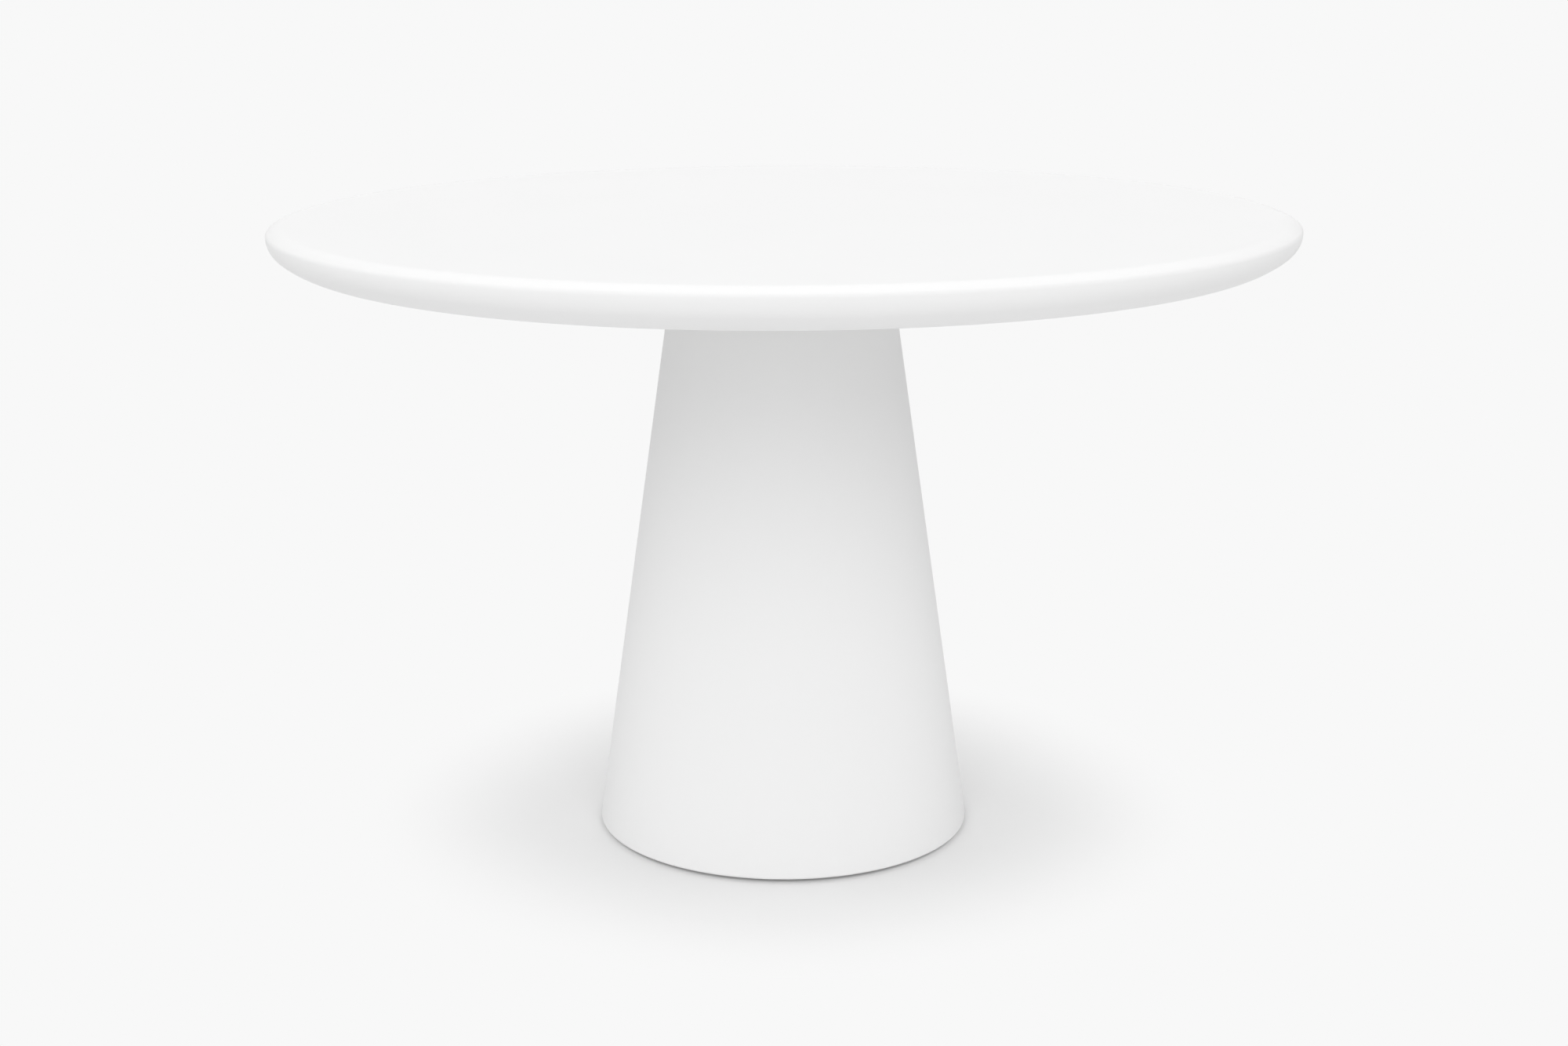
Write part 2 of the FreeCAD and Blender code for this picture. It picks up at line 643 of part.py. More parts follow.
def check_and_write():
    """Stop at the first object that failed; otherwise write one file for each piece."""
    doc.recompute()
    for thing in doc.Objects:
        if {"Invalid", "Error"} & set(thing.State):
            raise RuntimeError(f"{thing.Label} failed: {thing.State}")
    pieces = [thing for thing in doc.Objects if thing.isDerivedFrom("PartDesign::Body")]
    for piece in pieces:
        if piece.Shape.isNull() or not piece.Shape.isValid():
            raise RuntimeError(f"{piece.Label} has no sound shape")
    os.makedirs("parts", exist_ok=True)
    for piece in pieces:
        piece.Shape.exportStep(f"parts/{piece.Label}.step")
        solids = len(piece.Shape.Solids)
        print(f"{piece.Label}: {solids} solid(s), {piece.Shape.Volume / 1000:.2f} cm3")


make_table()
check_and_write()
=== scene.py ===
import math

import bpy
from mathutils import Matrix, Vector


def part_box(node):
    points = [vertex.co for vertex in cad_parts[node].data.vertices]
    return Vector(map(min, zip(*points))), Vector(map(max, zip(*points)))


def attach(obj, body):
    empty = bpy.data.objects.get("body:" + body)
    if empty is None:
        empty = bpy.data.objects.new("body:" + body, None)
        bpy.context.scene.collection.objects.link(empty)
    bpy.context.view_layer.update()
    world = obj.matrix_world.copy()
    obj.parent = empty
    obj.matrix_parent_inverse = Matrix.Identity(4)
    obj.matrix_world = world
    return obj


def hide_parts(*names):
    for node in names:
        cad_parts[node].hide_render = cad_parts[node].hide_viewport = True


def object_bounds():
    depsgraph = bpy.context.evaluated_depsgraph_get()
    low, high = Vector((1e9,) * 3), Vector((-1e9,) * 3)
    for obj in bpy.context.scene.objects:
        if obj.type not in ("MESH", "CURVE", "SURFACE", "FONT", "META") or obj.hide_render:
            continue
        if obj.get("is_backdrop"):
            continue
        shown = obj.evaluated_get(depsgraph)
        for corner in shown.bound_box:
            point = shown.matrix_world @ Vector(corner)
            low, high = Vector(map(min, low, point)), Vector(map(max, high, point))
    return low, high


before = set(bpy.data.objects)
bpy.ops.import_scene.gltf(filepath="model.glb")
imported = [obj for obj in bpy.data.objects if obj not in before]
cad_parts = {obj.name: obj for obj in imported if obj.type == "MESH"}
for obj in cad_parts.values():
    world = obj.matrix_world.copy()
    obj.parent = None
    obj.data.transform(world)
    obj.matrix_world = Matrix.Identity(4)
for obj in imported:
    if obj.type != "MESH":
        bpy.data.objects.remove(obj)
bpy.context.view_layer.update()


# ---- The studio -------------------------------------------------------------
# A white paper floor that glows evenly white, except in a soft pool round the table's foot where it is
# plain matt paper, under an even white sky, with broad soft lamps. A faint ring of painted glow in the
# paper just inside the cone's edge lightens the shade in the gap under it. A camera that stands below the
# paper sees through it, and a hole in it under the cone lets light in there.
mm = 0.001


def add(tree, kind, links=None, **settings):
    """A new node, with its settings, and each named input given a value or joined to a socket."""
    node = tree.nodes.new(kind)
    for name, setting in settings.items():
        setattr(node, name, setting)
    for name, source in (links or {}).items():
        if isinstance(source, bpy.types.NodeSocket):
            tree.links.new(source, node.inputs[name])
        else:
            node.inputs[name].default_value = source
    return node


def colour(code):
    """An sRGB hex colour as linear red, green, blue and full alpha."""
    parts = [int(code[at:at + 2], 16) / 255 for at in (0, 2, 4)]
    linear = [p / 12.92 if p <= 0.04045 else ((p + 0.055) / 1.055) ** 2.4 for p in parts]
    return (*linear, 1.0)


def new_material(name):
    """A material and its tree, with nothing in the tree yet."""
    material = bpy.data.materials.new(name)
    material.use_nodes = True
    material.node_tree.nodes.clear()
    return material, material.node_tree


hole_rim, sheet_rim, far_rim = 0.2, 2.0, 400.0
just_below = -0.3 * mm
floor_steps = 96
angles = [math.tau * at / floor_steps for at in range(floor_steps)]
spots = [(r * math.cos(a), r * math.sin(a), just_below) for r in (hole_rim, sheet_rim, far_rim) for a in angles]
bands = []
for first in (0, floor_steps):
    for at in range(floor_steps):
        near, after = first + at, first + (at + 1) % floor_steps
        bands.append((near, near + floor_steps, after + floor_steps, after))
floor_mesh = bpy.data.meshes.new("paper_floor")
floor_mesh.from_pydata(spots, [], bands)
floor = bpy.data.objects.new("paper_floor", floor_mesh)
bpy.context.scene.collection.objects.link(floor)

pool_centre = (0, 0.05, 0)
pool_inner, pool_outer = 0.25, 0.53
# The ring of painted glow under the cone's edge: its inner and outer radius from the axis, and its strength.
painted_glow_inner, painted_glow_outer = 0.2225, 0.2265
painted_glow_strength = 0.12
power_on_table = 0.96
paper, tree = new_material("studio_paper")
place = add(tree, "ShaderNodeTexCoord").outputs["Object"]
away = add(tree, "ShaderNodeVectorMath", {0: place, 1: pool_centre}, operation="DISTANCE").outputs["Value"]
glow = add(tree, "ShaderNodeMapRange", {"Value": away, "From Min": pool_inner, "From Max": pool_outer},
           interpolation_type="SMOOTHSTEP").outputs[0]
matt = add(tree, "ShaderNodeBsdfDiffuse", {"Color": colour("e7e7e7")}).outputs[0]
from_axis = add(tree, "ShaderNodeVectorMath", {0: place}, operation="LENGTH").outputs["Value"]
# Painted glow: a faint ring of emission in the paper just inside the cone's edge, which lightens the shade in the
# gap under the cone.
painted_glow_ring = add(tree, "ShaderNodeMapRange", {"Value": from_axis, "From Min": painted_glow_inner, "From Max": painted_glow_outer,
                                           "To Min": painted_glow_strength, "To Max": 0.0}).outputs[0]
painted_glow = add(tree, "ShaderNodeEmission", {"Color": colour("f8f8f8"), "Strength": painted_glow_ring}).outputs[0]
in_pool = add(tree, "ShaderNodeAddShader", {0: matt, 1: painted_glow}).outputs[0]
looked_at = add(tree, "ShaderNodeLightPath").outputs["Is Camera Ray"]
strength = add(tree, "ShaderNodeMapRange", {"Value": looked_at, "To Min": power_on_table, "To Max": 1.0}).outputs[0]
lit = add(tree, "ShaderNodeEmission", {"Color": colour("f8f8f8"), "Strength": strength}).outputs[0]
above = add(tree, "ShaderNodeMixShader", {0: glow, 1: in_pool, 2: lit}).outputs[0]
clear = add(tree, "ShaderNodeBsdfTransparent").outputs[0]
below = add(tree, "ShaderNodeNewGeometry").outputs["Backfacing"]
either = add(tree, "ShaderNodeMixShader", {0: below, 1: above, 2: clear}).outputs[0]
add(tree, "ShaderNodeOutputMaterial", {"Surface": either})
floor_mesh.materials.append(paper)
floor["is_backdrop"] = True

world = bpy.data.worlds.new("white_sky")
bpy.context.scene.world = world
world.use_nodes = True
sky = world.node_tree
sky.nodes.clear()
backdrop = add(sky, "ShaderNodeBackground", {"Color": colour("f8f8f8"), "Strength": 1.0}).outputs[0]
skylight = add(sky, "ShaderNodeBackground", {"Color": colour("ffffff"), "Strength": 0.346}).outputs[0]
seen = add(sky, "ShaderNodeLightPath").outputs["Is Camera Ray"]
mixed = add(sky, "ShaderNodeMixShader", {0: seen, 1: skylight, 2: backdrop}).outputs[0]
add(sky, "ShaderNodeOutputWorld", {"Surface": mixed})

softness = math.radians(50)
lamps = (
    ("front_low_lamp", 0.86, 0, 25),
    ("front_high_lamp", 0.65, 0, 42),
    ("left_lamp", 0.76, 100, 40),
    ("right_lamp", 0.67, -100, 40),
    ("back_lamp", 0.59, 180, 50),
    ("ceiling_lamp", 0.34, 0, 90),
)
for name, power, leftwards, upwards in lamps:
    lamp_data = bpy.data.lights.new(name, "SUN")
    lamp_data.energy = power
    lamp_data.angle = softness
    aside, lift = math.radians(leftwards), math.radians(upwards)
    shines_from = Vector((-math.sin(aside) * math.cos(lift), -math.cos(aside) * math.cos(lift), math.sin(lift)))
    lamp = bpy.data.objects.new(name, lamp_data)
    lamp.rotation_euler = shines_from.to_track_quat("Z", "Y").to_euler()
    bpy.context.scene.collection.objects.link(lamp)

bpy.context.scene.view_settings.view_transform = "Standard"

camera_distance = 2.796
camera_height = 1.0755
look_down = 0.2229
look_left = 0.0225
lean = 0.0073
forward = Vector((-math.sin(look_left) * math.cos(look_down),
                  math.cos(look_left) * math.cos(look_down),
                  -math.sin(look_down)))
level = Vector((math.cos(look_left), math.sin(look_left), 0))
upright = level.cross(forward)
across = math.cos(lean) * level - math.sin(lean) * upright
up = math.sin(lean) * level + math.cos(lean) * upright
camera_data = bpy.data.cameras.new("camera")
camera_data.sensor_width = 36
camera_data.lens = 54.41
camera_data.shift_x = 0.0343
camera_data.shift_y = -0.0349
camera = bpy.data.objects.new("camera", camera_data)
camera.matrix_world = Matrix.Translation((0, -camera_distance, camera_height)) @ Matrix(
    (across, up, -forward)).transposed().to_4x4()
bpy.context.scene.collection.objects.link(camera)
bpy.context.scene.camera = camera


# ---- The steel column -------------------------------------------------------
# A round steel tube with a foot plate below and four ribs above, cut from plate
# and welded with a line of overlapping beads, then primed black inside the cone.
def new_tree(name, result, **inputs):
    """A geometry tree that gives one result, and what it is given. An input's name has _ for each space."""
    tree = bpy.data.node_groups.new(name, "GeometryNodeTree")
    for word, kind in inputs.items():
        tree.interface.new_socket(word.replace("_", " "), in_out="INPUT", socket_type="NodeSocket" + kind)
    tree.interface.new_socket(result, in_out="OUTPUT", socket_type="NodeSocketGeometry")
    return tree, add(tree, "NodeGroupInput").outputs


def lathe_tree():
    """Turns a profile of points in the XZ plane about the Z axis, and cuts a thread where one is given."""
    tree, given = new_tree("turned_on_a_lathe", "Piece", Profile="Geometry", Steps="Int", Crease_angle="Float",
                           Pitch="Float", Thread_depth="Float", Thread_low="Float", Thread_high="Float",
                           Finish="Material")
    count = add(tree, "GeometryNodeAttributeDomainSize", {"Geometry": given["Profile"]}).outputs["Point Count"]
    columns = add(tree, "ShaderNodeMath", {0: given["Steps"], 1: 1.0}, operation="ADD").outputs[0]
    grid = add(tree, "GeometryNodeMeshGrid", {"Vertices X": columns, "Vertices Y": count}).outputs["Mesh"]
    index = add(tree, "GeometryNodeInputIndex").outputs[0]
    row = add(tree, "ShaderNodeMath", {0: index, 1: count}, operation="MODULO").outputs[0]
    share = add(tree, "ShaderNodeMath", {0: index, 1: count}, operation="DIVIDE").outputs[0]
    column = add(tree, "ShaderNodeMath", {0: share}, operation="FLOOR").outputs[0]
    turned = add(tree, "ShaderNodeMath", {0: column, 1: given["Steps"]}, operation="DIVIDE").outputs[0]
    angle = add(tree, "ShaderNodeMath", {0: turned, 1: math.tau}, operation="MULTIPLY").outputs[0]
    place = add(tree, "GeometryNodeInputPosition").outputs[0]
    point = add(tree, "GeometryNodeSampleIndex", {"Geometry": given["Profile"], "Value": place, "Index": row},
                data_type="FLOAT_VECTOR").outputs[0]

    parts = add(tree, "ShaderNodeSeparateXYZ", {0: point}).outputs
    risen = add(tree, "ShaderNodeMath", {0: parts["Z"], 1: given["Pitch"]}, operation="DIVIDE").outputs[0]
    lagging = add(tree, "ShaderNodeMath", {0: risen, 1: turned}, operation="SUBTRACT").outputs[0]
    sawn = add(tree, "ShaderNodeMath", {0: lagging, 1: 0.5}, operation="PINGPONG").outputs[0]
    cut = add(tree, "ShaderNodeMath", {0: sawn, 1: 2.0}, operation="MULTIPLY").outputs[0]
    deep = add(tree, "ShaderNodeMath", {0: cut, 1: given["Thread depth"]}, operation="MULTIPLY").outputs[0]
    over = add(tree, "ShaderNodeMath", {0: parts["Z"], 1: given["Thread low"]}, operation="GREATER_THAN").outputs[0]
    under = add(tree, "ShaderNodeMath", {0: parts["Z"], 1: given["Thread high"]}, operation="LESS_THAN").outputs[0]
    within = add(tree, "ShaderNodeMath", {0: over, 1: under}, operation="MULTIPLY").outputs[0]
    taken = add(tree, "ShaderNodeMath", {0: deep, 1: within}, operation="MULTIPLY").outputs[0]
    left = add(tree, "ShaderNodeMath", {0: parts["X"], 1: taken}, operation="SUBTRACT").outputs[0]
    threaded = add(tree, "ShaderNodeCombineXYZ", {"X": left, "Z": parts["Z"]}).outputs[0]

    round_axis = add(tree, "ShaderNodeVectorRotate", {"Vector": threaded, "Angle": angle}, rotation_type="Z_AXIS")
    moved = add(tree, "GeometryNodeSetPosition", {"Geometry": grid, "Position": round_axis.outputs[0]})
    closed = add(tree, "GeometryNodeMergeByDistance", {"Geometry": moved.outputs[0], "Distance": 0.001 * mm})
    bend = add(tree, "GeometryNodeInputMeshEdgeAngle").outputs["Unsigned Angle"]
    steep = add(tree, "FunctionNodeCompare", {0: bend, 1: given["Crease angle"]}, operation="GREATER_THAN")
    creased = add(tree, "GeometryNodeSetShadeSmooth", {"Geometry": closed.outputs[0], "Selection": steep.outputs[0],
                                                       "Shade Smooth": False}, domain="EDGE")
    solid = add(tree, "GeometryNodeRealizeInstances", {"Geometry": creased.outputs[0]})
    done = add(tree, "GeometryNodeSetMaterial", {"Geometry": solid.outputs[0], "Material": given["Finish"]})
    add(tree, "NodeGroupOutput", {"Piece": done.outputs[0]})
    return tree


def spacing_tree():
    """Carries one piece out to a radius and repeats it evenly round the Z axis."""
    tree, given = new_tree("spaced_round_a_circle", "Pieces", One="Geometry", Count="Int", Radius="Float",
                           First_angle="Float", Finish="Material")
    out = add(tree, "ShaderNodeCombineXYZ", {"X": given["Radius"]}).outputs[0]
    placed = add(tree, "GeometryNodeTransform", {"Geometry": given["One"], "Translation": out}).outputs[0]
    points = add(tree, "GeometryNodePoints", {"Count": given["Count"]}).outputs[0]
    index = add(tree, "GeometryNodeInputIndex").outputs[0]
    share = add(tree, "ShaderNodeMath", {0: index, 1: given["Count"]}, operation="DIVIDE").outputs[0]
    turned = add(tree, "ShaderNodeMath", {0: share, 1: math.tau}, operation="MULTIPLY").outputs[0]
    angle = add(tree, "ShaderNodeMath", {0: turned, 1: given["First angle"]}, operation="ADD").outputs[0]
    facing = add(tree, "ShaderNodeCombineXYZ", {"Z": angle}).outputs[0]
    spread = add(tree, "GeometryNodeInstanceOnPoints", {"Points": points, "Instance": placed, "Rotation": facing})
    solid = add(tree, "GeometryNodeRealizeInstances", {"Geometry": spread.outputs[0]})
    done = add(tree, "GeometryNodeSetMaterial", {"Geometry": solid.outputs[0], "Material": given["Finish"]})
    add(tree, "NodeGroupOutput", {"Pieces": done.outputs[0]})
    return tree


def settle(piece):
    """Makes what a piece's modifiers show its own plain mesh, and takes them off."""
    bpy.context.view_layer.update()
    graph = bpy.context.evaluated_depsgraph_get()
    shown = piece.evaluated_get(graph)
    result = bpy.data.meshes.new_from_object(shown, preserve_all_data_layers=True, depsgraph=graph)
    piece.modifiers.clear()
    result.name = piece.name
    piece.data = result
    return piece


def new_piece(name, points, lines=(), faces=()):
    """A piece of plain mesh, in the scene."""
    mesh = bpy.data.meshes.new(name)
    mesh.from_pydata(points, lines, faces)
    piece = bpy.data.objects.new(name, mesh)
    bpy.context.scene.collection.objects.link(piece)
    return piece


def grow(piece, tree, **inputs):
    """Runs a piece's mesh through a geometry tree. An input's name has _ for each space."""
    modifier = piece.modifiers.new(tree.name, "NODES")
    modifier.node_group = tree
    for item in tree.interface.items_tree:
        word = item.name.replace(" ", "_")
        if item.in_out == "INPUT" and word in inputs:
            modifier[item.identifier] = inputs[word]
    return settle(piece)


crease = math.radians(30)


def turn(name, points, finish, steps=96, **thread):
    """A piece turned from a profile that runs out along the bottom, up, and back in along the top."""
    lines = [(at, at + 1) for at in range(len(points) - 1)]
    blank = new_piece(name, [(r, 0, z) for r, z in points], lines)
    return grow(blank, lathe, Steps=steps, Crease_angle=crease, Finish=finish, **thread)


def space_out(piece, count, radius, first, finish):
    """Repeats a piece that stands on the Z axis round a circle. first is in degrees."""
    return grow(piece, spacing, Count=count, Radius=radius, First_angle=math.radians(first), Finish=finish)


def join(piece, way, tool):
    """Takes a tool's shape out of a piece (DIFFERENCE), adds it (UNION) or keeps what both share (INTERSECT)."""
    joint = piece.modifiers.new("joined", "BOOLEAN")
    joint.operation = way
    joint.object = tool
    joint.solver = "EXACT"
    settle(piece)
    bpy.data.objects.remove(tool)
    piece.data.set_sharp_from_angle(angle=crease)
    return piece


def bit(radius, low, high, finish, step=None, bore=None):
    """A cutter that stands on the Z axis, narrower above a step where one is given."""
    outline = [(0, low), (radius, low)]
    if step:
        outline += [(radius, step), (bore, step)]
    reach = bore or radius
    return turn("cutter", [*outline, (reach, high), (0, high)], finish, steps=48)


def arc(centre_r, centre_z, radius, start, end, steps):
    """Points on an arc, from one angle to another, both in radians."""
    angles = [start + (end - start) * at / steps for at in range(steps + 1)]
    return [(centre_r + radius * math.cos(a), centre_z + radius * math.sin(a)) for a in angles]


def eased(corners, steps=4, ring=False):
    """Points along corners (radius, level, rounding). A rounding of 0 is left sharp, and a ring is closed.
    One more point on each side of a rounding keeps the flats beside it flat to the eye."""
    shoulder = 0.03 * mm
    points = []
    for at, (r, z, soft) in enumerate(corners):
        here = Vector((r, z))
        if not soft:
            points.append((r, z))
            continue
        before = (Vector(corners[at - 1][:2]) - here).normalized()
        after = (Vector(corners[(at + 1) % len(corners)][:2]) - here).normalized()
        half = before.angle(after) / 2
        centre = here + (before + after).normalized() * soft / math.sin(half)
        reach = soft / math.tan(half)
        first = here + before * reach - centre
        last = here + after * reach - centre
        sweep = math.atan2(first.x * last.y - first.y * last.x, first.dot(last))
        start = math.atan2(first.y, first.x)
        points.append(tuple(here + before * (reach + shoulder)))
        points += arc(centre.x, centre.y, soft, start, start + sweep, steps)
        points.append(tuple(here + after * (reach + shoulder)))
    if ring:
        points.append(points[0])
    return points


def fit(piece, slot, *nodes, body="table_body"):
    """Parents a finished piece to its body and hides the solids it stands for. slot is not used."""
    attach(piece, body)
    if nodes:
        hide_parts(*nodes)


lathe = lathe_tree()
spacing = spacing_tree()


def black_primer():
    """Sprayed primer on mill steel: near black and almost matt, with a fine dry grain and thin, browner
    patches where it was sprayed from further away."""
    material, tree = new_material("black_primer_on_mill_steel")
    place = add(tree, "ShaderNodeTexCoord").outputs["Object"]
    cloud = add(tree, "ShaderNodeTexNoise", {"Vector": place, "Scale": 1 / (60 * mm), "Detail": 4.0}).outputs["Fac"]
    thin = add(tree, "ShaderNodeMapRange", {"Value": cloud, "From Min": 0.45, "From Max": 0.75}).outputs[0]
    tint = add(tree, "ShaderNodeMix", {"Factor": thin, 6: colour("1c1c1d"), 7: colour("2c2926")},
               data_type="RGBA").outputs[2]
    grain = add(tree, "ShaderNodeTexNoise", {"Vector": place, "Scale": 1 / (0.8 * mm), "Detail": 2.0}).outputs["Fac"]
    dry = add(tree, "ShaderNodeBump", {"Height": grain, "Strength": 0.4, "Distance": 0.05 * mm}).outputs[0]
    skin = add(tree, "ShaderNodeBsdfPrincipled", {"Base Color": tint, "Roughness": 0.62, "Normal": dry, "IOR": 1.5})
    add(tree, "ShaderNodeOutputMaterial", {"Surface": skin.outputs[0]})
    return material


primer = black_primer()
tube_low, tube_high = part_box("column_tube")
tube_rim = tube_high.x
tube_wall = 3 * mm
tube = turn("column_tube_drawn", eased([
    (tube_rim - tube_wall, tube_low.z, 0.3 * mm),
    (tube_rim, tube_low.z, 0.3 * mm),
    (tube_rim, tube_high.z, 0.3 * mm),
    (tube_rim - tube_wall, tube_high.z, 0.3 * mm),
], steps=2, ring=True), primer)
fit(tube, "black_paint", "column_tube")

foot_low, foot_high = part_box("column_foot_plate")
foot_rim = foot_high.x
base_bolt_at = (tube_rim + foot_rim) / 2
base_bolt_count = 4
foot_plate = turn("foot_plate_cut", eased([
    (0, foot_low.z, 0),
    (foot_rim, foot_low.z, 0.6 * mm),
    (foot_rim, foot_high.z, 0.6 * mm),
    (0, foot_high.z, 0),
], steps=2), primer)
tapped_hole = 5.05 * mm
tap = bit(tapped_hole, foot_low.z - mm, foot_high.z + mm, primer)
join(foot_plate, "DIFFERENCE", space_out(tap, base_bolt_count, base_bolt_at, 0, primer))
fit(foot_plate, "black_paint", "column_foot_plate")

rib_low, rib_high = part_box("column_gussets")
rib_land = 12 * mm
rib_half = 3 * mm
rib_outline = [
    (tube_rim, rib_low.z),
    (tube_rim + rib_land, rib_low.z),
    (foot_rim, rib_high.z - rib_land),
    (foot_rim, rib_high.z),
    (tube_rim, rib_high.z),
]
rib_count = 4
corners = len(rib_outline)
rib_points = [(r, across, z) for across in (-rib_half, rib_half) for r, z in rib_outline]
rib_faces = [tuple(range(corners)), tuple(reversed(range(corners, 2 * corners)))]
for at in range(corners):
    after = (at + 1) % corners
    rib_faces.append((after, at, at + corners, after + corners))
rib = new_piece("ribs_welded", rib_points, (), rib_faces)
bevel = rib.modifiers.new("sawn_edges", "BEVEL")
bevel.width = 0.5 * mm
bevel.segments = 2
settle(rib)
rib.data.shade_smooth()
rib.data.set_sharp_from_angle(angle=math.radians(50))
space_out(rib, rib_count, 0, 0, primer)
fit(rib, "black_paint", "column_gussets")


def bead_tree():
    """A weld: flattened drops of metal, each laid half over the one before, along a path."""
    tree, given = new_tree("laid_weld", "Weld", Path="Geometry", Bead_width="Float", Ripple_spacing="Float",
                           Finish="Material")
    path = add(tree, "GeometryNodeMeshToCurve", {0: given["Path"]}).outputs[0]
    drops = add(tree, "GeometryNodeCurveToPoints", {"Curve": path, "Length": given["Ripple spacing"]}, mode="LENGTH")
    half = add(tree, "ShaderNodeMath", {0: given["Bead width"], 1: 0.5}, operation="MULTIPLY").outputs[0]
    drop = add(tree, "GeometryNodeMeshUVSphere", {"Segments": 10, "Rings": 5, "Radius": half}).outputs["Mesh"]
    uneven = add(tree, "FunctionNodeRandomValue", {2: 0.9, 3: 1.08, "Seed": 4}).outputs[1]
    laid = add(tree, "GeometryNodeInstanceOnPoints", {"Points": drops.outputs["Points"], "Instance": drop,
                                                      "Rotation": drops.outputs["Rotation"], "Scale": uneven})
    solid = add(tree, "GeometryNodeRealizeInstances", {"Geometry": laid.outputs[0]})
    done = add(tree, "GeometryNodeSetMaterial", {"Geometry": solid.outputs[0], "Material": given["Finish"]})
    add(tree, "NodeGroupOutput", {"Weld": done.outputs[0]})
    return tree


weld_points, weld_lines = [], []
weld_steps = 90
for at in range(weld_steps):
    angle = math.tau * at / weld_steps
    weld_points.append((tube_rim * math.cos(angle), tube_rim * math.sin(angle), foot_high.z))
    weld_lines.append((at, (at + 1) % weld_steps))
for number in range(rib_count):
    for across in (-rib_half, rib_half):
        run = [(tube_rim, across, rib_low.z), (tube_rim, across, rib_high.z), (foot_rim, across, rib_high.z)]
        facing = Matrix.Rotation(math.tau * number / rib_count, 3, "Z")
        first = len(weld_points)
        weld_points += [tuple(facing @ Vector(point)) for point in run]
        weld_lines += [(first, first + 1), (first + 1, first + 2)]
welds = grow(new_piece("column_welds", weld_points, weld_lines), bead_tree(),
             Bead_width=4 * mm, Ripple_spacing=1.6 * mm, Finish=primer)
welds.data.shade_smooth()
fit(welds, "black_paint")


# ---- The mounting plate -----------------------------------------------------
# A round of laser-cut steel, welded to the ribs and the tube, with a rolled lower
# rim and a ring of holes for the top's screws. It is powder-coated white.
def powder_coat():
    """Baked powder on steel: white and satin, with a tight pebbled skin. The real pebbles are half a
    millimetre across and are drawn twice as large, so that they show."""
    material, tree = new_material("white_powder_coat_on_steel")
    place = add(tree, "ShaderNodeTexCoord").outputs["Object"]
    pebbles = add(tree, "ShaderNodeTexNoise", {"Vector": place, "Scale": 1 / mm, "Detail": 2.0}).outputs["Fac"]
    skin_relief = add(tree, "ShaderNodeBump", {"Height": pebbles, "Strength": 0.5, "Distance": 0.08 * mm}).outputs[0]
    skin = add(tree, "ShaderNodeBsdfPrincipled", {"Base Color": colour("e6e6e4"), "Roughness": 0.5,
                                                  "Normal": skin_relief, "IOR": 1.5})
    add(tree, "ShaderNodeOutputMaterial", {"Surface": skin.outputs[0]})
    return material


powder = powder_coat()
plate_low, plate_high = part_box("mounting_plate")
top_bolt_count = 8
top_bolt_at = 205 * mm
top_bolt_hole = 4.5 * mm
plate = turn("mounting_plate_coated", eased([
    (0, plate_low.z, 0),
    (plate_high.x, plate_low.z, 1.5 * mm),
    (plate_high.x, plate_high.z, 0.3 * mm),
    (0, plate_high.z, 0),
]), powder, steps=240)
hole_bit = bit(top_bolt_hole, plate_low.z - mm, plate_high.z + mm, powder)
join(plate, "DIFFERENCE", space_out(hole_bit, top_bolt_count, top_bolt_at, 0, powder))
fit(plate, "white_powder_coat", "mounting_plate")


# ---- The cone ---------------------------------------------------------------
# A straight-sided shell of glass fibre and resin, laid up in one mould, with a
# flange turned in at its narrow end. It is filled, sanded and lacquered white.
def lacquer(name, code, ripple):
    """Sprayed lacquer on a sanded filler: matt, with the faint ripple that spraying leaves, a few
    millimetres long, and a sheen that varies a little where it was rubbed down. The silica that makes
    it matt also takes most of its mirror shine away."""
    material, tree = new_material(name)
    place = add(tree, "ShaderNodeTexCoord").outputs["Object"]
    peel = add(tree, "ShaderNodeTexNoise", {"Vector": place, "Scale": 1 / (4 * mm), "Detail": 2.0}).outputs["Fac"]
    rubbed = add(tree, "ShaderNodeTexNoise", {"Vector": place, "Scale": 1 / (90 * mm), "Detail": 3.0}).outputs["Fac"]
    gloss = add(tree, "ShaderNodeMapRange", {"Value": rubbed, "From Min": 0.3, "From Max": 0.7,
                                             "To Min": 0.57, "To Max": 0.63}).outputs[0]
    wave = add(tree, "ShaderNodeBump", {"Height": peel, "Strength": ripple, "Distance": 0.02 * mm}).outputs[0]
    skin = add(tree, "ShaderNodeBsdfPrincipled", {"Base Color": colour(code), "Roughness": gloss,
                                                  "Normal": wave, "IOR": 1.5, "Specular IOR Level": 0.2})
    add(tree, "ShaderNodeOutputMaterial", {"Surface": skin.outputs[0]})
    return material


cone_lacquer = lacquer("white_matt_lacquer_on_glass_fibre", "ebebeb", ripple=0.4)
cone_low, cone_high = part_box("pedestal_cone")
gasket_low, gasket_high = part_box("cone_gasket")
cone_wall = 6 * mm
flange_width = 25 * mm
flange_thickness = 5 * mm
gasket_margin = 2 * mm
neck_rim = gasket_high.x + gasket_margin
base_rim = 226.5 * mm
slope = (base_rim - neck_rim) / (cone_high.z - cone_low.z)


def inside_shell(level):
    """The radius of the shell's inner face at a level."""
    return base_rim - cone_wall - slope * (level - cone_low.z)


flange_under = cone_high.z - flange_thickness
shell = turn("cone_shell", eased([
    (base_rim - cone_wall, cone_low.z, 0.8 * mm),
    (base_rim, cone_low.z, 2.5 * mm),
    (neck_rim, cone_high.z, 1.5 * mm),
    (neck_rim - flange_width, cone_high.z, 0.5 * mm),
    (neck_rim - flange_width, flange_under, 0.5 * mm),
    (inside_shell(flange_under), flange_under, 4 * mm),
], ring=True), cone_lacquer, steps=360)
fit(shell, "cone_lacquer", "pedestal_cone")


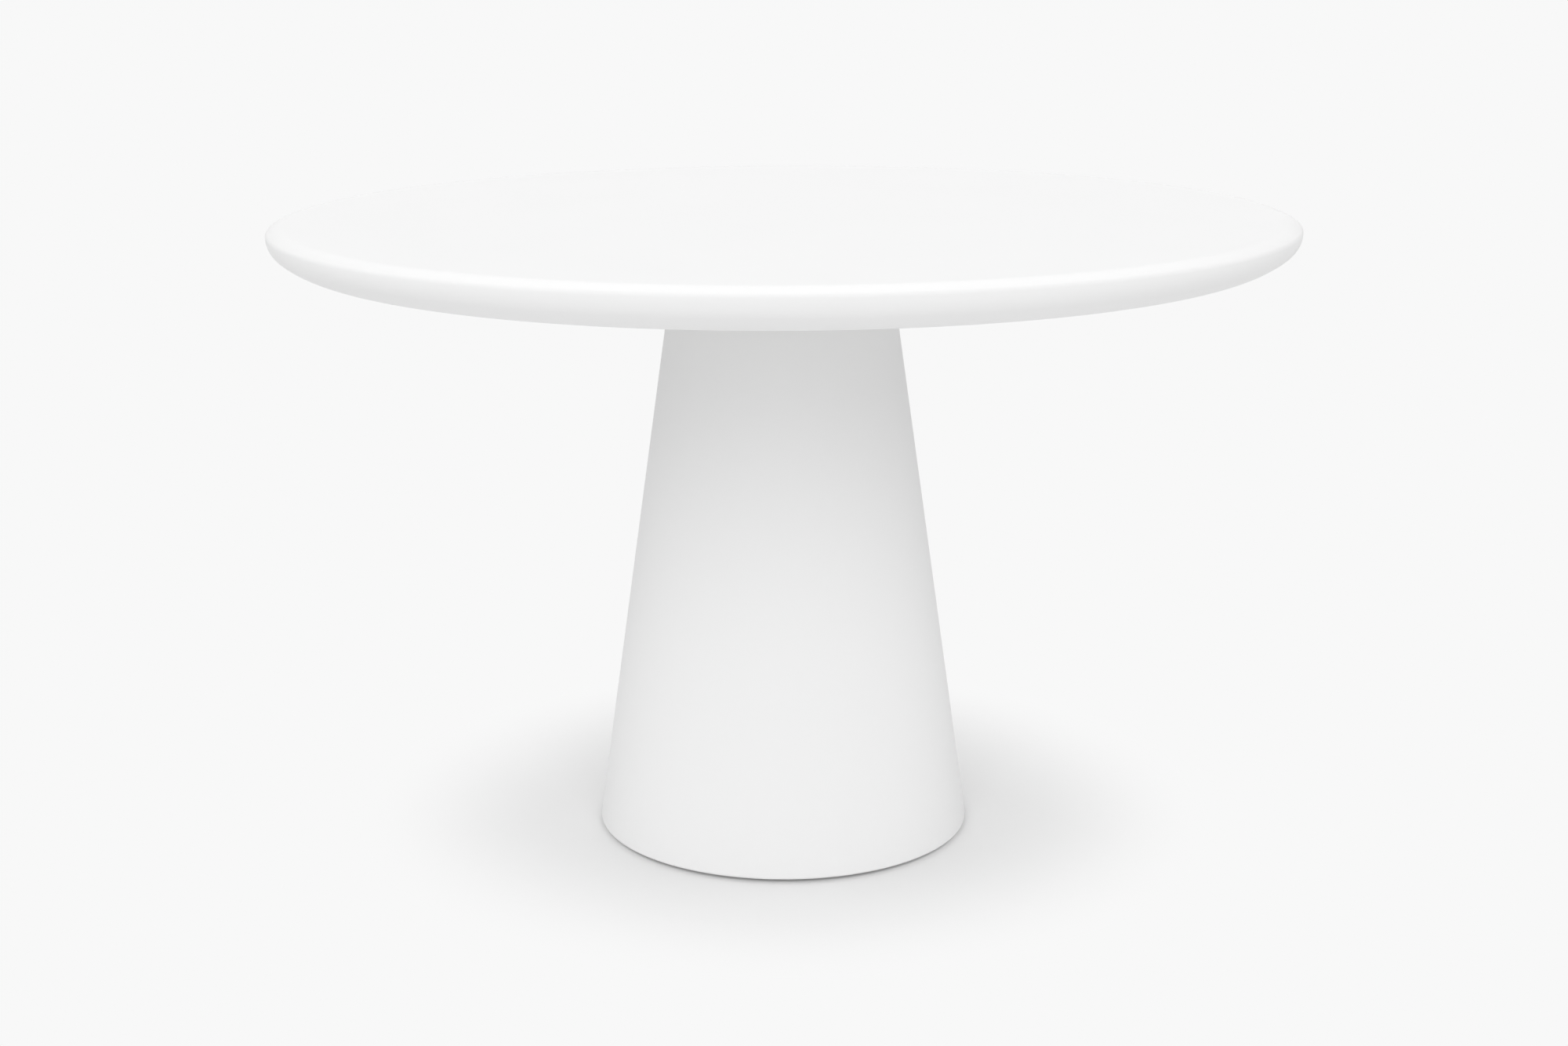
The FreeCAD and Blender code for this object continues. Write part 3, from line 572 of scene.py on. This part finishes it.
# ---- The foam gasket ----------------------------------------------------------
# A flat ring punched from black closed-cell foam, which lies on the cone's flange
# and takes up the slack under the mounting plate, so that nothing rattles.
def foam():
    """Closed-cell foam: soft black, quite matt, pitted all over with cut cells, with painted shade that darkens the
    bottom of each pit. The real cells are a third of a millimetre across and are drawn three times as large."""
    material, tree = new_material("black_closed_cell_foam")
    place = add(tree, "ShaderNodeTexCoord").outputs["Object"]
    cells = add(tree, "ShaderNodeTexVoronoi", {"Vector": place, "Scale": 1 / (1.0 * mm)}).outputs["Distance"]
    pits = add(tree, "ShaderNodeBump", {"Height": cells, "Strength": 0.8, "Distance": 0.15 * mm}).outputs[0]
    # Painted shade: the tint follows the depth of the pits, darker at the bottom of each cell and lighter on its
    # rim.
    tint = add(tree, "ShaderNodeMix", {"Factor": cells, 6: colour("161617"), 7: colour("303031")},
               data_type="RGBA").outputs[2]
    skin = add(tree, "ShaderNodeBsdfPrincipled", {"Base Color": tint, "Roughness": 0.9, "Normal": pits, "IOR": 1.45})
    add(tree, "ShaderNodeOutputMaterial", {"Surface": skin.outputs[0]})
    return material


gasket_inner = neck_rim - flange_width + gasket_margin
gasket = turn("foam_gasket", eased([
    (gasket_inner, gasket_low.z, 0.3 * mm),
    (gasket_high.x, gasket_low.z, 0.3 * mm),
    (gasket_high.x, gasket_high.z, 0.3 * mm),
    (gasket_inner, gasket_high.z, 0.3 * mm),
], steps=2, ring=True), foam(), steps=180)
fit(gasket, "foam", "cone_gasket")


# ---- The bonded ring ----------------------------------------------------------
# A ring of raw fibreboard, cut to the cone's slope and bonded inside its foot. It
# has a blind pilot hole for each of the six wood screws.
def fibreboard(name, light, dark, roughness):
    """Pressed wood fibre, sawn and left without a finish of its own: matt, with short fibres that lie
    flat and show as paler and darker flecks, three times their real size of a third of a millimetre."""
    material, tree = new_material(name)
    place = add(tree, "ShaderNodeTexCoord").outputs["Object"]
    lying = add(tree, "ShaderNodeMapping", {"Vector": place, "Scale": (1, 1, 3)}).outputs[0]
    flecks = add(tree, "ShaderNodeTexNoise", {"Vector": lying, "Scale": 1 / (1.0 * mm), "Detail": 4.0,
                                              "Roughness": 0.7, "Distortion": 1.5}).outputs["Fac"]
    clouds = add(tree, "ShaderNodeTexNoise", {"Vector": place, "Scale": 1 / (45 * mm), "Detail": 3.0}).outputs["Fac"]
    both = add(tree, "ShaderNodeMath", {0: flecks, 1: clouds}, operation="MULTIPLY").outputs[0]
    amount = add(tree, "ShaderNodeMapRange", {"Value": both, "From Min": 0.15, "From Max": 0.38}).outputs[0]
    tint = add(tree, "ShaderNodeMix", {"Factor": amount, 6: colour(dark), 7: colour(light)},
               data_type="RGBA").outputs[2]
    fuzz = add(tree, "ShaderNodeBump", {"Height": flecks, "Strength": 0.5, "Distance": 0.08 * mm}).outputs[0]
    skin = add(tree, "ShaderNodeBsdfPrincipled", {"Base Color": tint, "Roughness": roughness,
                                                  "Normal": fuzz, "IOR": 1.5})
    add(tree, "ShaderNodeOutputMaterial", {"Surface": skin.outputs[0]})
    return material


raw_board = fibreboard("raw_fibreboard", "bfa17c", "9b7f5e", 0.85)
ring_low, ring_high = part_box("cone_lower_ring")
glue_line = 0.3 * mm
ring_width = 20 * mm
ring_inner = inside_shell(ring_low.z) - glue_line - ring_width
ring_screw_count = 6
ring_screw_at = ring_inner + ring_width / 2
screw_low, screw_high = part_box("ring_screws")
ledge = turn("bonded_ring", eased([
    (ring_inner, ring_low.z, 0.5 * mm),
    (inside_shell(ring_low.z) - glue_line, ring_low.z, 0.5 * mm),
    (inside_shell(ring_high.z) - glue_line, ring_high.z, 0.5 * mm),
    (ring_inner, ring_high.z, 0.5 * mm),
], steps=2, ring=True), raw_board, steps=240)
pilot_hole = 2.3 * mm
between_glides = 30
pilot = bit(pilot_hole, ring_low.z - mm, screw_high.z + 0.05 * mm, raw_board)
join(ledge, "DIFFERENCE", space_out(pilot, ring_screw_count, ring_screw_at, between_glides, raw_board))
fit(ledge, "raw_board", "cone_lower_ring")


# ---- The base board -----------------------------------------------------------
# A disc of fibreboard, stained black, that closes the cone's foot. Recesses from
# below take the base screws, the glides and the countersunk heads of wood screws.
stained_board = fibreboard("black_stained_fibreboard", "33302d", "1c1a19", 0.7)
board_low, board_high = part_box("base_board")
board_gap = 0.5 * mm
bolt_recess, bolt_hole = 12.5 * mm, 5.5 * mm
glide_recess, nut_hole = 18.5 * mm, 5.35 * mm
sink_rim, sink_bore = 4.4 * mm, 2.35 * mm
glide_count = 6
glide_at = inside_shell(board_high.z) - 36 * mm
base_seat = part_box("base_bolt_washers")[1].z
nut_low, nut_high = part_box("glide_nuts")
nut_flange = 1.5 * mm
board = turn("base_board_stained", eased([
    (0, board_low.z, 0),
    (inside_shell(board_low.z) - board_gap, board_low.z, 0.6 * mm),
    (inside_shell(board_high.z) - board_gap, board_high.z, 0.6 * mm),
    (0, board_high.z, 0),
], steps=2), stained_board, steps=240)
below, over = board_low.z - mm, board_high.z + mm
bolt_bit = bit(bolt_recess, below, over, stained_board, step=base_seat, bore=bolt_hole)
glide_bit = bit(glide_recess, below, over, stained_board, step=nut_low.z + nut_flange, bore=nut_hole)
sink = turn("countersink", [
    (0, below),
    (sink_rim, below),
    (sink_rim, screw_low.z),
    (sink_bore, screw_low.z + sink_rim - sink_bore),
    (sink_bore, over),
    (0, over),
], stained_board, steps=48)
join(board, "DIFFERENCE", space_out(bolt_bit, base_bolt_count, base_bolt_at, 0, stained_board))
join(board, "DIFFERENCE", space_out(glide_bit, glide_count, glide_at, 0, stained_board))
join(board, "DIFFERENCE", space_out(sink, ring_screw_count, ring_screw_at, between_glides, stained_board))
fit(board, "stained_board", "base_board")


# ---- The ballast plate --------------------------------------------------------
# A heavy disc of flame-cut steel plate that lies on the base board and keeps the
# table from tipping. The column's screws pass through it.
def flame_cut_steel():
    """Hot-rolled plate, cut by flame and oiled: blue-black scale with browner clouds and a dull oily
    shine, and on the cut rim, 160 mm out, the upright grooves that the flame leaves, 1.5 mm apart."""
    material, tree = new_material("oiled_flame_cut_steel_plate")
    place = add(tree, "ShaderNodeTexCoord").outputs["Object"]
    clouds = add(tree, "ShaderNodeTexNoise", {"Vector": place, "Scale": 1 / (40 * mm), "Detail": 5.0}).outputs["Fac"]
    amount = add(tree, "ShaderNodeMapRange", {"Value": clouds, "From Min": 0.35, "From Max": 0.7}).outputs[0]
    tint = add(tree, "ShaderNodeMix", {"Factor": amount, 6: colour("55575b"), 7: colour("5f5349")},
               data_type="RGBA").outputs[2]
    oily = add(tree, "ShaderNodeMapRange", {"Value": clouds, "From Min": 0.3, "From Max": 0.7,
                                            "To Min": 0.34, "To Max": 0.58}).outputs[0]
    parts = add(tree, "ShaderNodeSeparateXYZ", {0: place}).outputs
    angle = add(tree, "ShaderNodeMath", {0: parts["Y"], 1: parts["X"]}, operation="ARCTAN2").outputs[0]
    groove_count = round(math.tau * 160 / 1.5)
    along = add(tree, "ShaderNodeMath", {0: angle, 1: groove_count}, operation="MULTIPLY").outputs[0]
    grooves = add(tree, "ShaderNodeMath", {0: along}, operation="SINE").outputs[0]
    normal = add(tree, "ShaderNodeNewGeometry").outputs["Normal"]
    facing = add(tree, "ShaderNodeSeparateXYZ", {0: normal}).outputs["Z"]
    flat = add(tree, "ShaderNodeMath", {0: facing}, operation="ABSOLUTE").outputs[0]
    on_rim = add(tree, "ShaderNodeMath", {0: flat, 1: 0.5}, operation="LESS_THAN").outputs[0]
    cut = add(tree, "ShaderNodeMath", {0: grooves, 1: on_rim}, operation="MULTIPLY").outputs[0]
    relief = add(tree, "ShaderNodeBump", {"Height": cut, "Strength": 0.5, "Distance": 0.2 * mm}).outputs[0]
    skin = add(tree, "ShaderNodeBsdfPrincipled", {"Base Color": tint, "Metallic": 1.0, "Roughness": oily,
                                                  "Normal": relief})
    add(tree, "ShaderNodeOutputMaterial", {"Surface": skin.outputs[0]})
    return material


plate_steel = flame_cut_steel()
ballast_low, ballast_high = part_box("ballast_plate")
ballast = turn("ballast_disc", eased([
    (0, ballast_low.z, 0),
    (ballast_high.x, ballast_low.z, 0.5 * mm),
    (ballast_high.x, ballast_high.z, 0.8 * mm),
    (0, ballast_high.z, 0),
], steps=2), plate_steel, steps=240)
ballast_bit = bit(bolt_hole, ballast_low.z - mm, ballast_high.z + mm, plate_steel)
join(ballast, "DIFFERENCE", space_out(ballast_bit, base_bolt_count, base_bolt_at, 0, plate_steel))
fit(ballast, "ballast_steel", "ballast_plate")


# ---- The base screws ------------------------------------------------------------
# Four M10 button-head screws with washers, put in from below, which clamp board,
# ballast and column together. Steel, turned and rolled, then plated with zinc.
def bright_zinc():
    """Zinc plate, passivated clear: a cool bright grey with faint yellow and blue clouds, and a shine
    broken by handling into smoother and duller spots a few millimetres across."""
    material, tree = new_material("bright_zinc_plated_steel")
    place = add(tree, "ShaderNodeTexCoord").outputs["Object"]
    clouds = add(tree, "ShaderNodeTexNoise", {"Vector": place, "Scale": 1 / (9 * mm), "Detail": 3.0}).outputs["Fac"]
    amount = add(tree, "ShaderNodeMapRange", {"Value": clouds, "From Min": 0.35, "From Max": 0.65}).outputs[0]
    tint = add(tree, "ShaderNodeMix", {"Factor": amount, 6: colour("c9cdd3"), 7: colour("d6d1c3")},
               data_type="RGBA").outputs[2]
    spots = add(tree, "ShaderNodeTexNoise", {"Vector": place, "Scale": 1 / (2.5 * mm), "Detail": 2.0}).outputs["Fac"]
    dulled = add(tree, "ShaderNodeMapRange", {"Value": spots, "From Min": 0.3, "From Max": 0.7,
                                              "To Min": 0.22, "To Max": 0.4}).outputs[0]
    skin = add(tree, "ShaderNodeBsdfPrincipled", {"Base Color": tint, "Metallic": 1.0, "Roughness": dulled})
    add(tree, "ShaderNodeOutputMaterial", {"Surface": skin.outputs[0]})
    return material


def thread_rows(radius, low, high, pitch):
    """Profile points close enough together to carry a thread: six for each turn of it."""
    count = math.ceil((high - low) / (pitch / 6))
    return [(radius, low + (high - low) * at / count) for at in range(count + 1)]


def hexagon_bar(across_corners, low, high, point=0.0):
    """A six-sided bar on the Z axis. point is how far its upper end rises to a tip, as in a drilled socket."""
    radius = across_corners / 2
    angles = [math.tau * corner / 6 for corner in range(6)]
    rings = [(radius * math.cos(a), radius * math.sin(a), z) for z in (low, high) for a in angles]
    faces = [(0, 5, 4, 3, 2, 1)]
    faces += [(at, (at + 1) % 6, (at + 1) % 6 + 6, at + 6) for at in range(6)]
    if point:
        rings.append((0, 0, high + point))
        faces += [(at + 6, (at + 1) % 6 + 6, 12) for at in range(6)]
    else:
        faces.append((6, 7, 8, 9, 10, 11))
    return new_piece("hexagon_bar", rings, (), faces)


def button_screw(name, low, seat, end, sizes):
    """A button-head screw with its head down. sizes are the head's and shank's radii, the head's rounding,
    the socket's width and depth, and the thread's pitch and depth."""
    head, shank, dome, socket, deep, pitch, cut = sizes
    outline = eased([(0, low, 0), (head, low, dome), (head, seat, 0.15 * mm), (shank, seat, 0)], steps=8)
    outline += thread_rows(shank, seat + 0.5 * mm, end - pitch, pitch)
    outline += [(shank - cut, end), (0, end)]
    screw = turn(name, outline, zinc, steps=40, Pitch=pitch, Thread_depth=cut,
                 Thread_low=seat + pitch, Thread_high=end - pitch)
    screw.data.materials.clear()
    join(screw, "DIFFERENCE", hexagon_bar(socket, low - mm, low + deep, socket / 6))
    return screw


def washer(name, bore, rim, low, high):
    """A stamped washer: its rims are a little rounded."""
    soft = 0.25 * mm
    return turn(name, eased([(bore, low, soft), (rim, low, soft), (rim, high, soft), (bore, high, soft)],
                            steps=2, ring=True), zinc, steps=48)


zinc = bright_zinc()
low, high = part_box("base_bolts")
washer_low, washer_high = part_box("base_bolt_washers")
base_screw_sizes = (8.75 * mm, 5 * mm, 3.3 * mm, 6.9 * mm, 3.3 * mm, 1.5 * mm, 0.85 * mm)
screws = button_screw("base_screws", low.z, washer_low.z, high.z, base_screw_sizes)
space_out(screws, base_bolt_count, base_bolt_at, 0, zinc)
fit(screws, "zinc_steel", "base_bolts")
washers = washer("base_washers", bolt_hole, 10 * mm, washer_low.z, washer_high.z)
space_out(washers, base_bolt_count, base_bolt_at, 0, zinc)
fit(washers, "zinc_steel", "base_bolt_washers")


# ---- The wood screws --------------------------------------------------------------
# Six countersunk wood screws, put in from below with a cross-point driver, which
# hold the base board to the bonded ring. Zinc-plated steel with a coarse thread.
wood_pitch = 2.2 * mm
wood_shank = 2.25 * mm
wood_head = 4.3 * mm
neck = screw_low.z + (wood_head - wood_shank)
point_from = screw_high.z - 2 * wood_shank
outline = [(0, screw_low.z), (wood_head - 0.2 * mm, screw_low.z), (wood_head, screw_low.z + 0.2 * mm),
           (wood_shank, neck)]
outline += thread_rows(wood_shank, neck + 0.5 * mm, point_from, wood_pitch)
outline.append((0, screw_high.z))
wood_screws = turn("wood_screws", outline, zinc, steps=32, Pitch=wood_pitch, Thread_depth=0.7 * mm,
                   Thread_low=screw_low.z + 12 * mm, Thread_high=point_from)
wood_screws.data.materials.clear()
wing, tip_wing, blade, depth = 2.3 * mm, 1.035 * mm, 0.45 * mm, 1.9 * mm
for crosswise in (False, True):
    slot_points = []
    for reach, depth_at in ((wing, screw_low.z - mm), (tip_wing, screw_low.z + depth)):
        for x, y in ((-reach, -blade), (reach, -blade), (reach, blade), (-reach, blade)):
            slot_points.append((y, x, depth_at) if crosswise else (x, y, depth_at))
    slot_faces = [(0, 3, 2, 1), (4, 5, 6, 7), (0, 1, 5, 4), (1, 2, 6, 5), (2, 3, 7, 6), (3, 0, 4, 7)]
    if crosswise:
        slot_faces = [tuple(reversed(face)) for face in slot_faces]
    join(wood_screws, "DIFFERENCE", new_piece("driver_wing", slot_points, (), slot_faces))
space_out(wood_screws, ring_screw_count, ring_screw_at, between_glides, zinc)
fit(wood_screws, "zinc_steel", "ring_screws")


# ---- The glide nuts ---------------------------------------------------------------
# Six flanged barrel nuts, pressed into the base board from below so that the load
# pushes them home. Turned steel, zinc plated.
barrel = 5.25 * mm
nut_rim = 11 * mm
nut_bore = 4 * mm
nuts = turn("glide_nuts_pressed", eased([
    (nut_bore, nut_low.z, 0.2 * mm),
    (nut_rim, nut_low.z, 0.3 * mm),
    (nut_rim, nut_low.z + nut_flange, 0.2 * mm),
    (barrel, nut_low.z + nut_flange, 0.2 * mm),
    (barrel, nut_high.z, 0.4 * mm),
    (nut_bore, nut_high.z, 0.2 * mm),
], steps=2, ring=True), zinc, steps=64)
space_out(nuts, glide_count, glide_at, 0, zinc)
fit(nuts, "zinc_steel", "glide_nuts")


# ---- The glides -------------------------------------------------------------------
# Under each nut a levelling glide: an M8 screw with a hexagon for a 13 mm spanner,
# and a moulded nylon foot that is snapped over the screw's head and stays still
# while the screw turns in it.
def nylon():
    """Moulded nylon: mid grey and waxy, with a fine spark-eroded grain, and on the sole the darker
    scuffs of being pushed across a floor."""
    material, tree = new_material("moulded_grey_nylon")
    place = add(tree, "ShaderNodeTexCoord").outputs["Object"]
    grain = add(tree, "ShaderNodeTexNoise", {"Vector": place, "Scale": 1 / (0.5 * mm), "Detail": 2.0}).outputs["Fac"]
    drawn = add(tree, "ShaderNodeMapping", {"Vector": place, "Rotation": (0, 0, 0.6), "Scale": (1, 9, 1)}).outputs[0]
    marks = add(tree, "ShaderNodeTexNoise", {"Vector": drawn, "Scale": 1 / (9 * mm), "Detail": 4.0}).outputs["Fac"]
    normal = add(tree, "ShaderNodeNewGeometry").outputs["Normal"]
    facing = add(tree, "ShaderNodeSeparateXYZ", {0: normal}).outputs["Z"]
    sole = add(tree, "ShaderNodeMath", {0: facing, 1: -0.8}, operation="LESS_THAN").outputs[0]
    scuff = add(tree, "ShaderNodeMapRange", {"Value": marks, "From Min": 0.48, "From Max": 0.62}).outputs[0]
    worn = add(tree, "ShaderNodeMath", {0: sole, 1: scuff}, operation="MULTIPLY").outputs[0]
    tint = add(tree, "ShaderNodeMix", {"Factor": worn, 6: colour("949596"), 7: colour("848382")},
               data_type="RGBA").outputs[2]
    relief = add(tree, "ShaderNodeBump", {"Height": grain, "Strength": 0.4, "Distance": 0.03 * mm}).outputs[0]
    skin = add(tree, "ShaderNodeBsdfPrincipled", {"Base Color": tint, "Roughness": 0.48, "Normal": relief,
                                                  "IOR": 1.53})
    add(tree, "ShaderNodeOutputMaterial", {"Surface": skin.outputs[0]})
    return material


grey_nylon = nylon()
pad_rim = 16 * mm
groove_in, groove_out, groove_deep = 9 * mm, 10 * mm, 0.4 * mm
mouth, room = 4.4 * mm, 6.4 * mm
ball, stem = 6 * mm, 4 * mm
m8_pitch, m8_cut, m8_crest = 1.25 * mm, 0.7 * mm, 3.95 * mm
hex_across = 15 * mm
corner = hex_across / 2
for number in range(1, glide_count + 1):
    first = 360 / glide_count * (number - 1)
    pad_low, pad_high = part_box(f"glide_pad_{number}")
    stud_low, stud_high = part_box(f"glide_stud_{number}")
    floor_of_cup, under_lip = pad_low.z + 3 * mm, pad_high.z - 2.5 * mm
    foot = turn(f"glide_foot_{number}", eased([
        (0, pad_low.z, 0),
        (groove_in, pad_low.z, 0.15 * mm),
        (groove_in, pad_low.z + groove_deep, 0.15 * mm),
        (groove_out, pad_low.z + groove_deep, 0.15 * mm),
        (groove_out, pad_low.z, 0.15 * mm),
        (pad_rim, pad_low.z, 1.5 * mm),
        (pad_rim, pad_high.z, 1.5 * mm),
        (mouth, pad_high.z, 0.4 * mm),
        (mouth, under_lip, 0.2 * mm),
        (room, under_lip, 0.2 * mm),
        (room, floor_of_cup, 0.3 * mm),
        (0, floor_of_cup, 0),
    ]), grey_nylon, steps=64)
    space_out(foot, 1, glide_at, first, grey_nylon)
    fit(foot, "glide_plastic", f"glide_pad_{number}", body=f"foot_{number}")

    hex_low, hex_high = pad_high.z + 0.5 * mm, pad_high.z + 5 * mm
    head_top = under_lip - 0.4 * mm
    outline = eased([(0, stud_low.z, 0), (ball, stud_low.z, 0.3 * mm), (ball, head_top, 0.3 * mm),
                     (stem, head_top, 0.2 * mm), (stem, hex_high, 0)], steps=2)
    outline += thread_rows(m8_crest, hex_high + 0.1 * mm, stud_high.z - m8_pitch, m8_pitch)
    outline += [(m8_crest - m8_cut, stud_high.z), (0, stud_high.z)]
    stud = turn(f"glide_screw_{number}", outline, zinc, steps=32, Pitch=m8_pitch, Thread_depth=m8_cut,
                Thread_low=hex_high + m8_pitch, Thread_high=stud_high.z - m8_pitch)
    stud.data.materials.clear()
    flats = hexagon_bar(hex_across, hex_low, hex_high)
    blank = turn("chamfered_blank", [
        (0, hex_low - mm),
        (corner - 1.9 * mm, hex_low - mm),
        (corner + mm, hex_low + 0.6 * mm),
        (corner + mm, hex_high - 0.6 * mm),
        (corner - 1.9 * mm, hex_high + mm),
        (0, hex_high + mm),
    ], zinc, steps=48)
    blank.data.materials.clear()
    join(flats, "INTERSECT", blank)
    join(stud, "UNION", flats)
    space_out(stud, 1, glide_at, first, zinc)
    fit(stud, "zinc_steel", f"glide_stud_{number}", body=f"screw_{number}")


# ---- The tabletop -----------------------------------------------------------------
# A slab of fibreboard, turned to an edge that is tight beside its widest line and
# slack above and below it, then sprayed with a matt white lacquer. Eight blind
# holes in its underside take the threaded inserts.
def soft_edge(rim, widest, reach, drop, nose, side, steps):
    """A nose arc from the widest line and the slack arc that carries it on to the flat. side is 1 or -1."""
    turn_at = 2 * math.atan((reach - nose) / (drop - nose)) - math.pi / 2
    slack = nose + (reach - nose) / math.cos(turn_at)
    near = arc(rim - nose, widest, nose, 0, side * turn_at, steps)
    far = arc(rim - reach, widest + side * (drop - slack), slack, side * turn_at, side * math.pi / 2, steps)
    return near + far[1:]


top_lacquer = lacquer("white_matt_lacquer_on_fibreboard", "ececec", ripple=0.3)
slab_low, slab_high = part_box("tabletop")
edge_drop = 10 * mm
widest_line = slab_high.z - edge_drop
under_run, over_run = 64 * mm, 21 * mm
under_edge = soft_edge(slab_high.x, widest_line, under_run, widest_line - slab_low.z, 27 * mm, -1, 16)
over_edge = soft_edge(slab_high.x, widest_line, over_run, edge_drop, 5.5 * mm, 1, 12)
slab_profile = [(0, slab_low.z), (slab_high.x - under_run - mm, slab_low.z), *reversed(under_edge),
                *over_edge[1:], (slab_high.x - over_run - mm, slab_high.z), (0, slab_high.z)]
slab = turn("tabletop_slab", slab_profile, top_lacquer, steps=360)
insert_low, insert_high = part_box("top_inserts")
insert_hole = 6.1 * mm
insert_bit = bit(insert_hole, slab_low.z - mm, insert_high.z + 3 * mm, top_lacquer)
join(slab, "DIFFERENCE", space_out(insert_bit, top_bolt_count, top_bolt_at, 0, top_lacquer))
fit(slab, "top_lacquer", "tabletop")


# ---- The threaded inserts -----------------------------------------------------------
# Eight steel sleeves pressed into the slab, flush with its underside, with a groove
# round each that the board's fibres swell into.
insert_rim, insert_bore = 6 * mm, 4.05 * mm
waist = (insert_low.z + insert_high.z) / 2
inserts = turn("threaded_inserts", eased([
    (insert_bore, insert_low.z, 0.3 * mm),
    (insert_rim, insert_low.z, 0.3 * mm),
    (insert_rim, waist - 1.5 * mm, 0),
    (insert_rim - 0.8 * mm, waist - mm, 0),
    (insert_rim - 0.8 * mm, waist + mm, 0),
    (insert_rim, waist + 1.5 * mm, 0),
    (insert_rim, insert_high.z, 0.6 * mm),
    (insert_bore, insert_high.z, 0.3 * mm),
], steps=2, ring=True), zinc, steps=40)
space_out(inserts, top_bolt_count, top_bolt_at, 0, zinc)
fit(inserts, "zinc_steel", "top_inserts")


# ---- The top's screws ---------------------------------------------------------------
# Eight M8 button-head screws with washers, put up through the mounting plate into
# the inserts, which hold the top to the column.
low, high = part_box("top_bolts")
washer_low, washer_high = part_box("top_bolt_washers")
top_screw_sizes = (7 * mm, 4 * mm, 2.64 * mm, 5 * mm, 2.64 * mm, m8_pitch, m8_cut)
screws = button_screw("top_screws", low.z, washer_low.z, high.z, top_screw_sizes)
space_out(screws, top_bolt_count, top_bolt_at, 0, zinc)
fit(screws, "zinc_steel", "top_bolts")
washers = washer("top_washers", top_bolt_hole, 8 * mm, washer_low.z, washer_high.z)
space_out(washers, top_bolt_count, top_bolt_at, 0, zinc)
fit(washers, "zinc_steel", "top_bolt_washers")


low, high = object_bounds()
